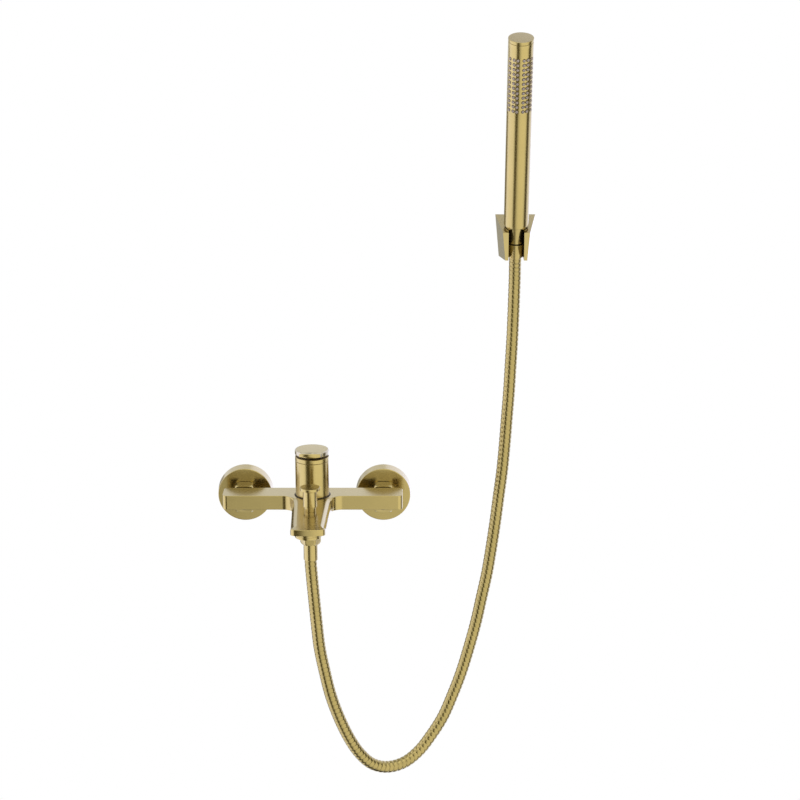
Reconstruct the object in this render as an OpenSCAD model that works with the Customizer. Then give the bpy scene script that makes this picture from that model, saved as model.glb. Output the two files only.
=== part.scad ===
// Wall mounted bath faucet: a single lever mixer with a bath spout and a
// diverter, a metal hose, and a stick hand shower in a slotted wall holder.
//
// Frame: the wall is the plane Y = 0, +X points right and +Z points up. The
// origin lies on the wall, midway between the two inlet axes. Distances "out"
// are measured from the wall towards the user, along -Y.

/* [Wall inlets] */
// Distance between the two inlet axes
inlet_pitch = 150; // [146:0.5:156]
// Drop of the wall thread below the inlet axis
union_offset = 6; // [4:0.5:7]
// Radius of the wall thread
wall_thread_r = 10.48; // [10.3:0.02:10.6]
// Length of the wall thread behind the wall
wall_thread_len = 16; // [12:1:20]
// Radius of the thread that carries a flange and a nut
union_thread_r = 13.2; // [13:0.05:13.4]
// Distance from the wall to the end of the union
union_reach = 24; // [23:0.5:28]
// Radius of a wall flange
flange_r = 30; // [28:0.5:34]
// Depth of a wall flange
flange_depth = 14.5; // [11:0.5:15]
// How much less a flange's radius is at its front
flange_taper = 0.9; // [0:0.1:1.2]
// Wall thickness of a flange
flange_wall = 2; // [1.5:0.1:2.5]
// Width across the flats of a union nut
union_nut_af = 30; // [30:0.5:32]
// Thickness of an inlet seal
inlet_seal_t = 2.5; // [2:0.1:3]
// Radius of the bore in an inlet tail
tail_bore_r = 7.5; // [6.5:0.1:7.8]

/* [Bar] */
// Length of the bar
bar_len = 192; // [186:1:210]
// Depth of the bar from its back to its front
bar_depth = 28.8; // [27:0.2:32]
// Height of the bar
bar_height = 15.5; // [14.4:0.1:18]
// Underside of the bar, measured from the inlet axis
bar_bottom = -2; // [-3:0.1:-1]
// Radius of the bar's upright corners
bar_corner_r = 5; // [3:0.5:7]

/* [Spout] */
// Reach of the spout past the front of the bar
spout_len = 111.7; // [108:0.5:125]
// Half width of the spout where it leaves the bar
spout_root_w = 21.1; // [20:0.1:23]
// Half width of the spout at its lip
spout_tip_w = 18; // [17:0.1:20]
// Height of the spout's lip
lip_h = 6.7; // [6.2:0.1:7.5]
// Radius of the hollow between the bar and the spout
fillet_r = 11.5; // [6:0.5:13]
// Radius of the aerator housing
aerator_r = 13.75; // [13:0.05:14]
// Depth of the aerator housing below the spout
aerator_h = 2.9; // [2.5:0.1:3.5]

/* [Tower and handle] */
// Distance from the back of the bar to the tower's axis
tower_inset = 23; // [21:0.5:24]
// Radius of the tower
tower_r = 18; // [17.4:0.1:18.2]
// Height of the sleeve above the bar
sleeve_h = 38.3; // [38:0.1:42]
// Height of the ring above the sleeve
ring_h = 4.7; // [4.2:0.1:5]
// Gap between the ring and the handle
handle_gap = 2.4; // [2.2:0.1:3]
// Radius of the handle's cap
cap_r = 18.2; // [18:0.1:19]
// Height of the handle's cap
cap_h = 5.2; // [5:0.1:6]
// Width of the lever
lever_w = 22.5; // [16:0.5:23]
// Thickness of the lever
lever_t = 3.3; // [3:0.1:4]
// Reach of the lever past the cap's rim
lever_len = 32.5; // [28:0.5:40]
// Rise of the lever over its reach, in degrees
lever_rise = 17; // [12:0.5:20]
// Full lift of the handle, in degrees
handle_lift = 20; // [12:1:20]
// Radius of the cartridge
cartridge_r = 12.5; // [12:0.05:12.6]

/* [Diverter] */
// Distance from the tower's axis to the diverter's axis
diverter_offset = 55.5; // [52:0.5:60]
// Radius of the knob's top disc
knob_r = 10.6; // [9:0.1:12]
// Thickness of the knob's top disc
knob_t = 3; // [2.5:0.1:4]
// Radius of the knob's neck
knob_neck_r = 7.45; // [7.2:0.05:8]
// Length of the knob's neck
knob_neck_h = 18; // [16:0.1:20]
// Radius of the gland
gland_r = 6; // [5.8:0.1:6.2]
// Part of the gland that shows below the knob
gland_show = 5.1; // [4.5:0.1:8]
// Travel of the knob
diverter_travel = 8; // [6:0.5:8]
// Radius of the diverter's piston
piston_r = 5; // [4.8:0.05:5.2]

/* [Hose] */
// Radius of the hose
hose_r = 6.5; // [6:0.1:6.8]
// Radius of the thread at both ends of the hose
hose_thread_r = 7.9; // [7.8:0.02:8]
// Width across the flats of the hose nut
hose_nut_af = 19; // [18.6:0.1:21]
// Height of the hose nut
hose_nut_h = 15; // [14.5:0.5:16]
// Radius of the lower ferrule
ferrule_r = 7.45; // [7:0.05:7.7]
// Length of the lower ferrule
ferrule_len = 18; // [14:1:22]

/* [Hand shower] */
// Radius of the hand shower
tube_r = 13; // [12.6:0.1:14]
// Wall of the hand shower's tube
tube_wall = 1.5; // [1.2:0.1:1.6]
// Length of the hand shower
tube_len = 211; // [200:1:230]
// Thickness of the end cap
end_cap_t = 3.3; // [2.5:0.1:5]
// Radius of a spray nozzle
nozzle_r = 1.35; // [1:0.05:1.4]
// How far a nozzle stands out
nozzle_out = 1.1; // [0.5:0.1:1.2]
// Distance between two rows of nozzles
nozzle_pitch = 5.1; // [5:0.1:5.3]
// Number of rows of nozzles
nozzle_rows = 12; // [9:1:13]
// Distance from the hand shower's end to its last row of nozzles
spray_inset = 19.6; // [18:0.1:22]
// Upper radius of the cone nut
cone_top_r = 11.5; // [11.2:0.1:12]
// Lower radius of the cone nut
cone_bottom_r = 8.2; // [8:0.1:8.8]
// Height of the cone nut
cone_h = 36.3; // [35:0.1:38]

/* [Wall holder] */
// Distance of the holder's middle from the origin, along the wall
holder_x = 215; // [215:1:216]
// Distance of the cone's axis from the wall, at the holder's top
holder_out = 25; // [24.6:0.1:26]
// Height of the holder's top, on the cone's axis
holder_z = 298.3; // [298:0.1:300]
// Lean of the hand shower towards the user, in degrees
holder_lean = 17.5; // [16.5:0.5:18]
// Depth of the holder
holder_depth = 38; // [38:0.5:42]
// Height of the holder at the wall
holder_h = 44.7; // [44:0.1:46]
// Width of the holder at the wall, on its top edge
holder_w = 42; // [41:0.5:45]
// Width of the slot
slot_w = 16.2; // [15.4:0.1:16.5]
// Distance between the two wall screws
screw_pitch = 20; // [17:0.5:20]
// Thickness of the plate on the wall
plate_t = 4; // [3.5:0.1:4]

/* [Hidden] */

$fn = 96;
// Overshoot of a cut past the face that it leaves through
over = 1;
// Radial clearance of a screwed or seated fit
fit = 0.05;
// Radial clearance of a turning or sliding fit
running = 0.08;
// Gap between pieces that move past each other without a fit
free_gap = 0.3;

gold = [0.72, 0.62, 0.34];
hose_gold = [0.66, 0.57, 0.32];
silicone = [0.72, 0.68, 0.66];
rubber = [0.12, 0.12, 0.12];
plastic = [0.9, 0.9, 0.88];
ceramic = [0.95, 0.93, 0.88];
steel = [0.7, 0.72, 0.74];

// Wall inlets
union_collar_r = 16.5;
union_collar_t = 4;
union_bore_r = 9;
inlet_seal_r = 12;
strainer_t = 0.8;
strainer_hole_r = 0.9;
tail_collar_r = 11.8;
tail_collar_t = 1.7;
tail_neck_r = 9.8;
tail_neck_len = 9.8;
tail_cone_h = 3;
nut_lip_t = 1.8;
nut_gap = 1.5;
nut_chamfer = 1.5;
flange_chamfer = 0.6;
nut_start = flange_depth + 1;
tail_start = union_reach + inlet_seal_t;
nut_lip_start = tail_start + tail_collar_t;
nut_end = nut_lip_start + nut_lip_t;
tail_end = nut_lip_start + tail_neck_len;
inlet_valve_len = 8;
outlet_valve_len = 10;
valve_wall = 1.2;
valve_spoke = 1.6;

// Bar, spout and their waterways
bar_back = nut_end + nut_gap;
bar_front = bar_back + bar_depth;
bar_top = bar_bottom + bar_height;
lip_out = bar_front + spout_len;
lip_bulge = 2;
lip_corner_r = 6;
arc_steps = 10;
tower_out = bar_back + tower_inset;
diverter_out = tower_out + diverter_offset;
aerator_out = lip_out - 16;
aerator_top = bar_top - 9.3;
feed_r = 4.8;
cross_feed_r = 4.2;
feed_z = bar_bottom + bar_height / 2;
feed_out = tower_out - 0.8;
feed_end_x = 4.4;
port_r = 2.6;
port_x = 6.1;
port_front = 3.5;
mixed_back = 2;
inflow_r = 2.2;
inflow_z = bar_top - 8.7;
outflow_z = bar_top - 5.3;
riser_r = 1.4;
riser_z = bar_top - 3.5;
riser_start = 18;
aerator_thread_r = 11.9;
aerator_thread_h = 3;
aerator_bore_r = 10.2;
aerator_lip_t = 1;
aerator_washer_t = 1;
aerator_chamber_r = 9;
aerator_chamber_top = bar_top - 1.8;
aerator_hole_r = 0.9;
aerator_hole_pitch = 3.2;
boss_r = 10.4;
boss_h = 20;
boss_bottom = bar_top - boss_h;
outlet_bore_r = 5.8;
outlet_thread_h = 9.9;
outlet_thread_end = boss_bottom - outlet_thread_h;

// Tower and cartridge
turret_r = tower_r - 2.6;
turret_thread_r = cartridge_r + 0.75;
sleeve_wall = 1.2;
sleeve_top = bar_top + sleeve_h;
turret_top = sleeve_top - 3;
ring_top = sleeve_top + ring_h;
ring_hole_r = 13.2;
ring_skirt_h = 8;
joint_line = 0.3;
edge_chamfer = 0.4;
base_h = 4;
seal_r = 4;
seal_h = 1.5;
disc_t = 3;
housing_wall = 1.2;
housing_room_r = cartridge_r - housing_wall;
housing_top_t = 2;
fixed_disc_z = bar_top + base_h;
moving_disc_z = fixed_disc_z + disc_t;
carrier_z = moving_disc_z + disc_t;
carrier_h = 4.2;
guide_flange_z = carrier_z + carrier_h + 0.6;
guide_flange_t = 2.6;
housing_top = guide_flange_z + guide_flange_t + housing_top_t + 0.1;
guide_r = 7.9;
cartridge_nut_h = 7;
cap_bottom = ring_top + handle_gap;
cap_top = cap_bottom + cap_h;
pivot_drop = 18.8;
pivot_z = cap_bottom - pivot_drop;
pivot_pin_r = 1.25;
pivot_pin_len = 14;
guide_top = pivot_z + 3.7;
stem_w = 6;
stem_block_drop = 4;
stem_tip_r = 2;
stem_arm_r = 1.6;
stem_tip_z = carrier_z + 2.8;
tip_back = (pivot_z - stem_tip_z) * tan(handle_lift / 2);
stem_arm_len = (pivot_z - stem_tip_z) / cos(handle_lift / 2);
moving_disc_r = housing_room_r - tip_back - free_gap;
disc_pocket_h = 1.8;
cap_rim = 2;
cap_skin = 2.2;
hub_r = 6;
hub_drop = 6.6;
handle_screw_r = 2;
handle_screw_z = cap_bottom - 1.2;
lever_end_r = 20;
rim_out = tower_out + cap_r;

// Diverter
gland_foot_r = piston_r + 0.5;
gland_foot_h = 2.55;
knob_neck_z = bar_top + gland_show;
knob_disc_z = knob_neck_z + knob_neck_h;
gland_top = knob_neck_z + diverter_travel + 0.7;
rod_r = 2;
rod_top = knob_disc_z - 1.7;
gland_seal_r = 3.4;
gland_seal_h = 2;
gland_seal_z = gland_top - 4.5;
piston_h = 5.3;
piston_bottom = bar_top - 16.3;
piston_floor_t = 2;
piston_room_r = 4.4;
piston_groove_h = 1;
piston_groove_r = 4.1;
diverter_chamber_r = piston_r + running;
diverter_chamber_bottom = piston_bottom - free_gap;
diverter_port_r = 3.6;
diverter_port_h = 2;
spring_r = 3.2;
spring_wire_r = 0.3;
spring_turns = 5;
spring_steps = 12;

// Hose ends
washer_t = 2;
washer_hole_r = 3.5;
hose_tail_flange_t = 1.6;
hose_tail_flange_r = 7.4;
hose_tail_r = 4.8;
hose_tail_bore_r = 3.2;
hose_nut_lip_t = 2;
hose_nut_chamfer = 1.2;
hose_washer_z = outlet_thread_end - washer_t;
hose_flange_z = hose_washer_z - hose_tail_flange_t;
hose_nut_z = hose_flange_z - hose_nut_lip_t;
ferrule_z = hose_nut_z - ferrule_len;

// Hand shower, measured along its own axis from the holder's top
tube_s = 3;
tube_floor_t = 3.5;
tube_top_s = tube_s + tube_len;
end_cap_s = tube_top_s - end_cap_t;
end_cap_line = 0.3;
end_plug_h = 6.5;
cap_seal_h = 1.6;
cap_seal_w = 1;
tube_bore_r = tube_r - tube_wall;
last_row_s = tube_top_s - spray_inset;
first_row_s = last_row_s - (nozzle_rows - 1) * nozzle_pitch;
nozzle_angles = [-56, -32, -14, 14, 32, 56];
nozzle_hole_r = 0.4;
mat_t = 1.4;
mat_half_angle = 66;
mat_margin = 4;
carrier_r = tube_bore_r - mat_t - 0.2;
carrier_wall = 1.9;
carrier_floor_t = 3;
carrier_slot_w = 1.4;
spray_carrier_s = first_row_s - mat_margin - 6;
spray_carrier_top_s = end_cap_s - end_plug_h - 0.5;
inner_tube_r = 6;
inner_tube_wall = 1.2;
inlet_flange_r = 10.5;
inlet_flange_t = 2;
inlet_bore_r = 4.5;
limiter_r = 5.2;
limiter_t = 3.5;
cone_top_s = 1.3;
cone_bottom_s = cone_top_s - cone_h;
inlet_tail_len = 14;
inlet_end_s = cone_top_s - inlet_tail_len;
handset_washer_s = inlet_end_s - washer_t;
upper_flange_s = handset_washer_s - free_gap - hose_tail_flange_t;
cone_lip_t = 1.7;
cone_lip_s = upper_flange_s - free_gap - cone_lip_t;
cone_groove_drop = 19.2;
cone_groove_s = cone_top_s - cone_groove_drop;
cone_groove_h = 1.6;
cone_groove_depth = 1;
upper_ferrule_r = hose_r + 0.4;
upper_ferrule_top_s = cone_lip_s - free_gap;
upper_ferrule_s = cone_bottom_s - 2;
upper_flange_r = 7.2;

// Wall holder
holder_top = holder_z + holder_out * tan(holder_lean);
holder_front_drop = holder_depth * tan(holder_lean);
holder_bottom_rise = 3.1;
holder_plan_taper = 8.7;
holder_side_taper = 5;
plate_w = 26;
plate_h = 32;
plate_drop = 22.4;
plate_z = holder_top - plate_drop;
screw_mid_z = plate_z - 2;
wall_screw_r = 2;
wall_screw_head_r = 4;
wall_screw_head_h = 2.2;
wall_screw_len = 26;
plug_r = 3;
plug_len = 28;
holder_screw_r = 1.5;
holder_screw_len = 4.4;

// Route of the hose, as distance along the wall, distance out and height
hose_route = [
    [0, 110, -40], [0, 110, -46], [0.6, 110, -54], [1.6, 109.5, -68], [2.8, 109, -83],
    [5.2, 108, -112], [8, 106.5, -141], [13, 104, -169.5], [19, 101.5, -197.5],
    [27.5, 97.5, -225], [38, 93, -251], [49.5, 87.5, -272], [63, 81.5, -287],
    [79.5, 74, -294.5], [97.5, 66, -292.5], [113.5, 58.5, -282], [127, 52.5, -266],
    [140, 46.5, -246.5], [150.5, 41.5, -223], [160, 37.5, -198], [168.5, 33.5, -170],
    [176, 30, -142], [182, 27.5, -114], [188, 25, -85.5], [192.5, 23, -57],
    [196.5, 21, -28.5], [200, 19.5, 0.5], [203.5, 18, 29], [206, 16.5, 58],
    [208, 15.5, 87], [210, 14.5, 115.5], [211.5, 13, 144.5], [213, 11.5, 173.5],
    [214, 9.5, 200.5], [214.7, 8.2, 226], [215, 8.6, 241], [215, 10.3, 251.6],
    [215, 13.9, 263]
];
hose_sides = 10;

// Points on an arc, from the angle a0 to the angle a1
function arc(cx, cy, r, a0, a1) = [
    for (i = [0:arc_steps])
        let (a = a0 + (a1 - a0) * i / arc_steps) [cx + r * cos(a), cy + r * sin(a)]
];

// Half width of the spout at a distance from the wall
function spout_w(out) = spout_root_w + (spout_tip_w - spout_root_w) * (out - bar_front) / spout_len;

function unit(v) = v / norm(v);

function tangent(p, i) = unit(p[min(i + 1, len(p) - 1)] - p[max(i - 1, 0)]);

// A ring of points round the point i of a path
function path_ring(p, i, r, sides, side_axis) = let (
    t = tangent(p, i),
    u = unit(cross(side_axis, t)),
    v = cross(t, u)
) [for (k = [0:sides - 1]) p[i] + r * (cos(360 * k / sides) * u + sin(360 * k / sides) * v)];

// A round tube swept along a path; side_axis is a direction the path never takes
module swept_rod(p, r, sides, side_axis) {
    points = [for (i = [0:len(p) - 1]) each path_ring(p, i, r, sides, side_axis)];
    walls = [
        for (i = [0:len(p) - 2], k = [0:sides - 1])
            let (a = i * sides + k, b = i * sides + (k + 1) % sides)
                each [[a, a + sides, b], [b, a + sides, b + sides]]
    ];
    first = [for (k = [0:sides - 1]) k];
    last = [for (k = [sides - 1:-1:0]) (len(p) - 1) * sides + k];
    polyhedron(points = points, faces = concat(walls, [first, last]));
}

// Places a piece whose local +Z points out of the wall
module outward(x, out, z) {
    translate([x, -out, z]) rotate([90, 0, 0]) children();
}

// Places a piece on the hand shower's axis, at s above the holder's top
module on_shower(s) {
    translate([holder_x, -holder_out, holder_z])
        rotate([holder_lean, 0, 0])
            translate([0, 0, s]) children();
}

module ring(r_out, r_in, h) {
    difference() {
        cylinder(r = r_out, h = h);
        translate([0, 0, -over]) cylinder(r = r_in, h = h + 2 * over);
    }
}

// A disc with a chamfer on its upper edge
module edged_disc(r, h, chamfer) {
    cylinder(r = r, h = h - chamfer);
    translate([0, 0, h - chamfer]) cylinder(r1 = r, r2 = r - chamfer, h = chamfer);
}

// A hexagonal prism whose corners are turned down at both ends
module hexagon(af, h, chamfer) {
    corner_r = af / sqrt(3);
    intersection() {
        cylinder(r = corner_r, h = h, $fn = 6);
        union() {
            cylinder(r1 = corner_r - chamfer, r2 = corner_r, h = chamfer);
            translate([0, 0, chamfer]) cylinder(r = corner_r, h = h - 2 * chamfer);
            translate([0, 0, h - chamfer]) cylinder(r1 = corner_r, r2 = corner_r - chamfer, h = chamfer);
        }
    }
}

// Check valve cartridge: a tube with a cross that guides a poppet
module check_valve(r, len) {
    poppet_r = r - valve_wall - 1.2;
    ring(r, r - valve_wall, len);
    intersection() {
        cylinder(r = r, h = len);
        union() {
            translate([-r, -valve_spoke / 2, 0]) cube([2 * r, valve_spoke, valve_spoke]);
            translate([-valve_spoke / 2, -r, 0]) cube([valve_spoke, 2 * r, valve_spoke]);
            cylinder(r = valve_spoke / 2, h = len - 1);
            translate([0, 0, len - 3]) cylinder(r = poppet_r, h = 1.5);
        }
    }
}

module both_inlets() {
    for (side = [-1, 1]) translate([side * inlet_pitch / 2, 0, 0]) children();
}

module wall_flange(x) {
    front_r = flange_r - flange_taper;
    side_h = flange_depth - flange_chamfer;
    color(gold) outward(x, 0, 0) difference() {
        union() {
            cylinder(r1 = flange_r, r2 = front_r, h = side_h);
            translate([0, 0, side_h])
                cylinder(r1 = front_r, r2 = front_r - flange_chamfer, h = flange_chamfer);
        }
        translate([0, 0, -over]) cylinder(r = front_r - flange_wall, h = flange_depth - flange_wall + over);
        translate([0, 0, -over]) cylinder(r = union_thread_r + fit, h = flange_depth + 2 * over);
    }
}

module s_union(x) {
    color(gold) difference() {
        union() {
            outward(x, -wall_thread_len, -union_offset)
                cylinder(r = wall_thread_r, h = wall_thread_len + union_collar_t);
            outward(x, 0, -union_offset / 2) cylinder(r = union_collar_r, h = union_collar_t);
            outward(x, union_collar_t - over, 0)
                cylinder(r = union_thread_r, h = union_reach - union_collar_t + over);
        }
        outward(x, -wall_thread_len - over, -union_offset)
            cylinder(r = tail_bore_r, h = wall_thread_len + over + union_collar_t / 2);
        outward(x, union_collar_t / 2 - fit, 0) cylinder(r = union_bore_r, h = union_reach);
    }
}

module union_nut(x) {
    color(gold) outward(x, nut_start, 0) difference() {
        hexagon(union_nut_af, nut_end - nut_start, nut_chamfer);
        translate([0, 0, -over]) cylinder(r = union_thread_r + fit, h = nut_lip_start - nut_start + over);
        cylinder(r = tail_neck_r + 3 * fit, h = nut_end);
    }
}

// One seal with its strainer at each inlet
module inlet_strainers() {
    color(rubber) both_inlets() outward(0, union_reach, 0) difference() {
        cylinder(r = inlet_seal_r, h = inlet_seal_t);
        translate([0, 0, strainer_t]) cylinder(r = tail_bore_r, h = inlet_seal_t);
        for (a = [0:60:300]) {
            rotate(a) translate([4.2, 0, -over]) cylinder(r = strainer_hole_r, h = inlet_seal_t);
        }
        translate([0, 0, -over]) cylinder(r = strainer_hole_r, h = inlet_seal_t);
    }
}

module inlet_check_valves() {
    color(plastic) both_inlets() outward(0, tail_start, 0) check_valve(tail_bore_r - fit, inlet_valve_len);
}

// Outline of the bar and the spout, seen from above
module mixer_plan() {
    back_y = -bar_back;
    front_y = -bar_front;
    half = bar_len / 2;
    r = bar_corner_r;
    side_w = spout_w(bar_front + fillet_r);
    tip_w = spout_tip_w;
    bulge_r = (tip_w * tip_w + lip_bulge * lip_bulge) / (2 * lip_bulge);
    bulge_y = -(lip_out - bulge_r);
    corner_x = tip_w - lip_corner_r;
    corner_reach = sqrt(pow(bulge_r - lip_corner_r, 2) - corner_x * corner_x);
    corner_a = atan2(corner_reach, corner_x);
    right = concat(
        arc(half - r, back_y - r, r, 90, 0),
        arc(half - r, front_y + r, r, 0, -90),
        arc(side_w + fillet_r, front_y - fillet_r, fillet_r, 90, 180),
        arc(corner_x, bulge_y - corner_reach, lip_corner_r, 0, -corner_a),
        arc(0, bulge_y, bulge_r, -corner_a, -90)
    );
    left = [for (i = [len(right) - 2:-1:0]) [-right[i][0], right[i][1]]];
    polygon(concat(right, left));
}

// Outline of the bar and the spout, seen from the right
module mixer_profile() {
    polygon([
        [-bar_back + over, bar_bottom], [-bar_back + over, bar_top], [-lip_out - over, bar_top],
        [-lip_out - over, bar_top - lip_h], [-lip_out, bar_top - lip_h], [-bar_front, bar_bottom]
    ]);
}

module mixer_blank() {
    intersection() {
        translate([0, 0, bar_bottom]) linear_extrude(bar_height) mixer_plan();
        rotate([90, 0, 90]) translate([0, 0, -bar_len / 2 - over])
            linear_extrude(bar_len + 2 * over) mixer_profile();
    }
    translate([0, -tower_out, bar_top - over]) cylinder(r = turret_r, h = turret_top - bar_top + over);
    translate([0, -diverter_out, boss_bottom]) cylinder(r = boss_r, h = bar_top - 2 - boss_bottom);
    translate([0, -diverter_out, outlet_thread_end]) cylinder(r = hose_thread_r, h = outlet_thread_h + over);
    translate([0, -aerator_out, aerator_top]) cylinder(r = aerator_r, h = bar_top - 2 - aerator_top);
    both_inlets() {
        outward(0, tail_start, 0) cylinder(r = tail_collar_r, h = tail_collar_t);
        outward(0, nut_lip_start, 0) cylinder(r = tail_neck_r, h = tail_neck_len);
        outward(0, tail_end, 0) cylinder(r1 = tail_neck_r, r2 = tail_neck_r - tail_cone_h, h = tail_cone_h);
    }
}

module inlet_waterways() {
    for (side = [-1, 1]) {
        x = side * inlet_pitch / 2;
        outward(x, tail_start - over, 0) cylinder(r = tail_bore_r, h = tail_end - tail_start - 1);
        outward(x, tail_end - 4, feed_z) cylinder(r = feed_r, h = feed_out + feed_r - tail_end + 4);
        translate([side * feed_end_x, -feed_out, feed_z]) rotate([0, side * 90, 0])
            cylinder(r = cross_feed_r, h = inlet_pitch / 2 - feed_end_x);
        translate([side * port_x, -tower_out - port_front, feed_z]) cylinder(r = port_r, h = bar_top);
    }
    translate([0, -tower_out + mixed_back, inflow_z]) cylinder(r = port_r, h = bar_top - inflow_z + over);
    outward(0, tower_out - mixed_back, inflow_z) cylinder(r = inflow_r, h = diverter_offset);
}

module outlet_waterways() {
    outlet_bore_h = diverter_chamber_bottom - diverter_port_h - outlet_thread_end;
    translate([0, -diverter_out, 0]) {
        translate([0, 0, diverter_chamber_bottom])
            cylinder(r = diverter_chamber_r, h = bar_top - gland_foot_h - diverter_chamber_bottom);
        translate([0, 0, bar_top - gland_foot_h - fit])
            cylinder(r = gland_foot_r + fit, h = gland_foot_h + over);
        translate([0, 0, diverter_chamber_bottom - diverter_port_h - over])
            cylinder(r = diverter_port_r, h = diverter_port_h + 2 * over);
        translate([0, 0, outlet_thread_end - over])
            cylinder(r = outlet_bore_r, h = outlet_bore_h + over);
    }
    outward(0, diverter_out, outflow_z)
        cylinder(r = inflow_r, h = aerator_out - aerator_thread_r - diverter_out - 1);
    outward(0, aerator_out - riser_start, riser_z) cylinder(r = riser_r, h = riser_start);
    translate([0, -aerator_out, aerator_top - over])
        cylinder(r = aerator_thread_r + fit, h = aerator_thread_h + aerator_washer_t + over);
    translate([0, -aerator_out, aerator_top])
        cylinder(r = aerator_chamber_r, h = aerator_chamber_top - aerator_top);
}

module mixer_body() {
    color(gold) difference() {
        mixer_blank();
        inlet_waterways();
        outlet_waterways();
        translate([0, -tower_out, bar_top]) cylinder(r = cartridge_r + fit, h = turret_top - bar_top + over);
        translate([0, -tower_out, housing_top])
            cylinder(r = turret_thread_r, h = turret_top - housing_top + over);
    }
}

module tower_sleeve() {
    color(gold) translate([0, -tower_out, bar_top]) ring(tower_r, tower_r - sleeve_wall, sleeve_h);
}

module sleeve_ring() {
    color(gold) translate([0, -tower_out, sleeve_top]) {
        ring(tower_r - joint_line, ring_hole_r, joint_line);
        difference() {
            translate([0, 0, joint_line]) edged_disc(tower_r, ring_h - joint_line, edge_chamfer);
            translate([0, 0, -over]) cylinder(r = ring_hole_r, h = ring_h + 2 * over);
        }
        translate([0, 0, -ring_skirt_h]) ring(tower_r - sleeve_wall - fit, turret_r + fit, ring_skirt_h);
    }
}

// The hot, the cold and the mixed port, as holes round the tower's axis
module ports(r, h) {
    for (p = [[-port_x, -port_front], [port_x, -port_front], [0, mixed_back]]) {
        translate([p[0], p[1], 0]) cylinder(r = r, h = h);
    }
}

module cartridge_base() {
    color(plastic) translate([0, -tower_out, bar_top]) difference() {
        cylinder(r = cartridge_r, h = base_h);
        translate([0, 0, -over]) ports(port_r, base_h + 2 * over);
        translate([0, 0, -over]) ports(seal_r + fit, seal_h + over);
    }
}

module cartridge_seals() {
    color(rubber) translate([0, -tower_out, bar_top]) difference() {
        ports(seal_r, seal_h);
        translate([0, 0, -over]) ports(port_r, seal_h + 2 * over);
    }
}

module fixed_disc() {
    color(ceramic) translate([0, -tower_out, fixed_disc_z]) difference() {
        cylinder(r = housing_room_r - free_gap, h = disc_t);
        translate([0, 0, -over]) ports(port_r, disc_t + 2 * over);
    }
}

module moving_disc() {
    color(ceramic) translate([0, -tower_out + tip_back, moving_disc_z]) difference() {
        cylinder(r = moving_disc_r, h = disc_t);
        translate([0, 3.2, -over]) cylinder(r = 3.4, h = disc_pocket_h + over);
        translate([-5.5, -2.4, -over]) cube([11, 4.4, disc_pocket_h + over]);
    }
}

module disc_carrier() {
    color(plastic) translate([0, -tower_out + tip_back, carrier_z])
        ring(moving_disc_r, stem_tip_r + free_gap, carrier_h);
}

module cartridge_housing() {
    color(plastic) translate([0, -tower_out, 0]) difference() {
        translate([0, 0, fixed_disc_z]) cylinder(r = cartridge_r, h = housing_top - fixed_disc_z);
        translate([0, 0, fixed_disc_z - over])
            cylinder(r = housing_room_r, h = housing_top - housing_top_t - fixed_disc_z + over);
        translate([0, 0, fixed_disc_z]) cylinder(r = guide_r + running, h = housing_top);
    }
}

module stem_guide() {
    slot_x = stem_w + 2 * free_gap;
    slot_y = stem_w + 3.6;
    color(plastic) translate([0, -tower_out, guide_flange_z]) difference() {
        union() {
            cylinder(r = housing_room_r - free_gap, h = guide_flange_t);
            cylinder(r = guide_r, h = guide_top - guide_flange_z);
        }
        translate([-slot_x / 2, -slot_y / 2, -over]) cube([slot_x, slot_y, guide_top]);
        translate([-guide_r - over, 0, pivot_z - guide_flange_z]) rotate([0, 90, 0])
            cylinder(r = pivot_pin_r + fit, h = 2 * guide_r + 2 * over);
    }
}

module stem_pin() {
    color(steel) translate([-pivot_pin_len / 2, -tower_out, pivot_z]) rotate([0, 90, 0])
        cylinder(r = pivot_pin_r, h = pivot_pin_len);
}

module cartridge_stem() {
    color(steel) translate([0, -tower_out, pivot_z]) difference() {
        union() {
            translate([-stem_w / 2, -stem_w / 2, -stem_block_drop])
                cube([stem_w, stem_w, stem_block_drop + cap_top - cap_skin - pivot_z - free_gap]);
            rotate([handle_lift / 2, 0, 0]) translate([0, 0, -stem_arm_len]) {
                sphere(r = stem_tip_r);
                cylinder(r = stem_arm_r, h = stem_arm_len);
            }
        }
        translate([-stem_w, 0, 0]) rotate([0, 90, 0]) cylinder(r = pivot_pin_r + running, h = 2 * stem_w);
    }
}

module cartridge_nut() {
    color(gold) translate([0, -tower_out, housing_top]) difference() {
        ring(turret_thread_r - fit, guide_r + 0.6, cartridge_nut_h);
        for (a = [45:90:315]) {
            rotate(a) translate([turret_thread_r - 2.5, -1.5, cartridge_nut_h - 2]) cube([5, 3, 5]);
        }
    }
}

module lever() {
    rise = lever_len * tan(lever_rise);
    root = tower_out + sqrt(cap_r * cap_r - lever_w * lever_w / 4) - 1;
    underside = lever_t / cos(lever_rise);
    end_x = lever_t * sin(lever_rise);
    lever_end = rim_out + lever_len + end_x;
    intersection() {
        rotate([90, 0, 90]) translate([0, 0, -lever_w / 2]) linear_extrude(lever_w) polygon([
            [-root, cap_top], [-rim_out, cap_top], [-rim_out - lever_len, cap_top + rise],
            [-lever_end, cap_top + rise - lever_t * cos(lever_rise)],
            [-root, cap_top - underside - (rim_out - root) * tan(lever_rise)]
        ]);
        union() {
            translate([0, lever_end_r - lever_end, cap_bottom])
                cylinder(r = lever_end_r, h = cap_h + 2 * rise);
            translate([-lever_w, lever_end_r - lever_end, cap_bottom])
                cube([2 * lever_w, lever_end - root - lever_end_r + over, cap_h + 2 * rise]);
        }
    }
}

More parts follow.
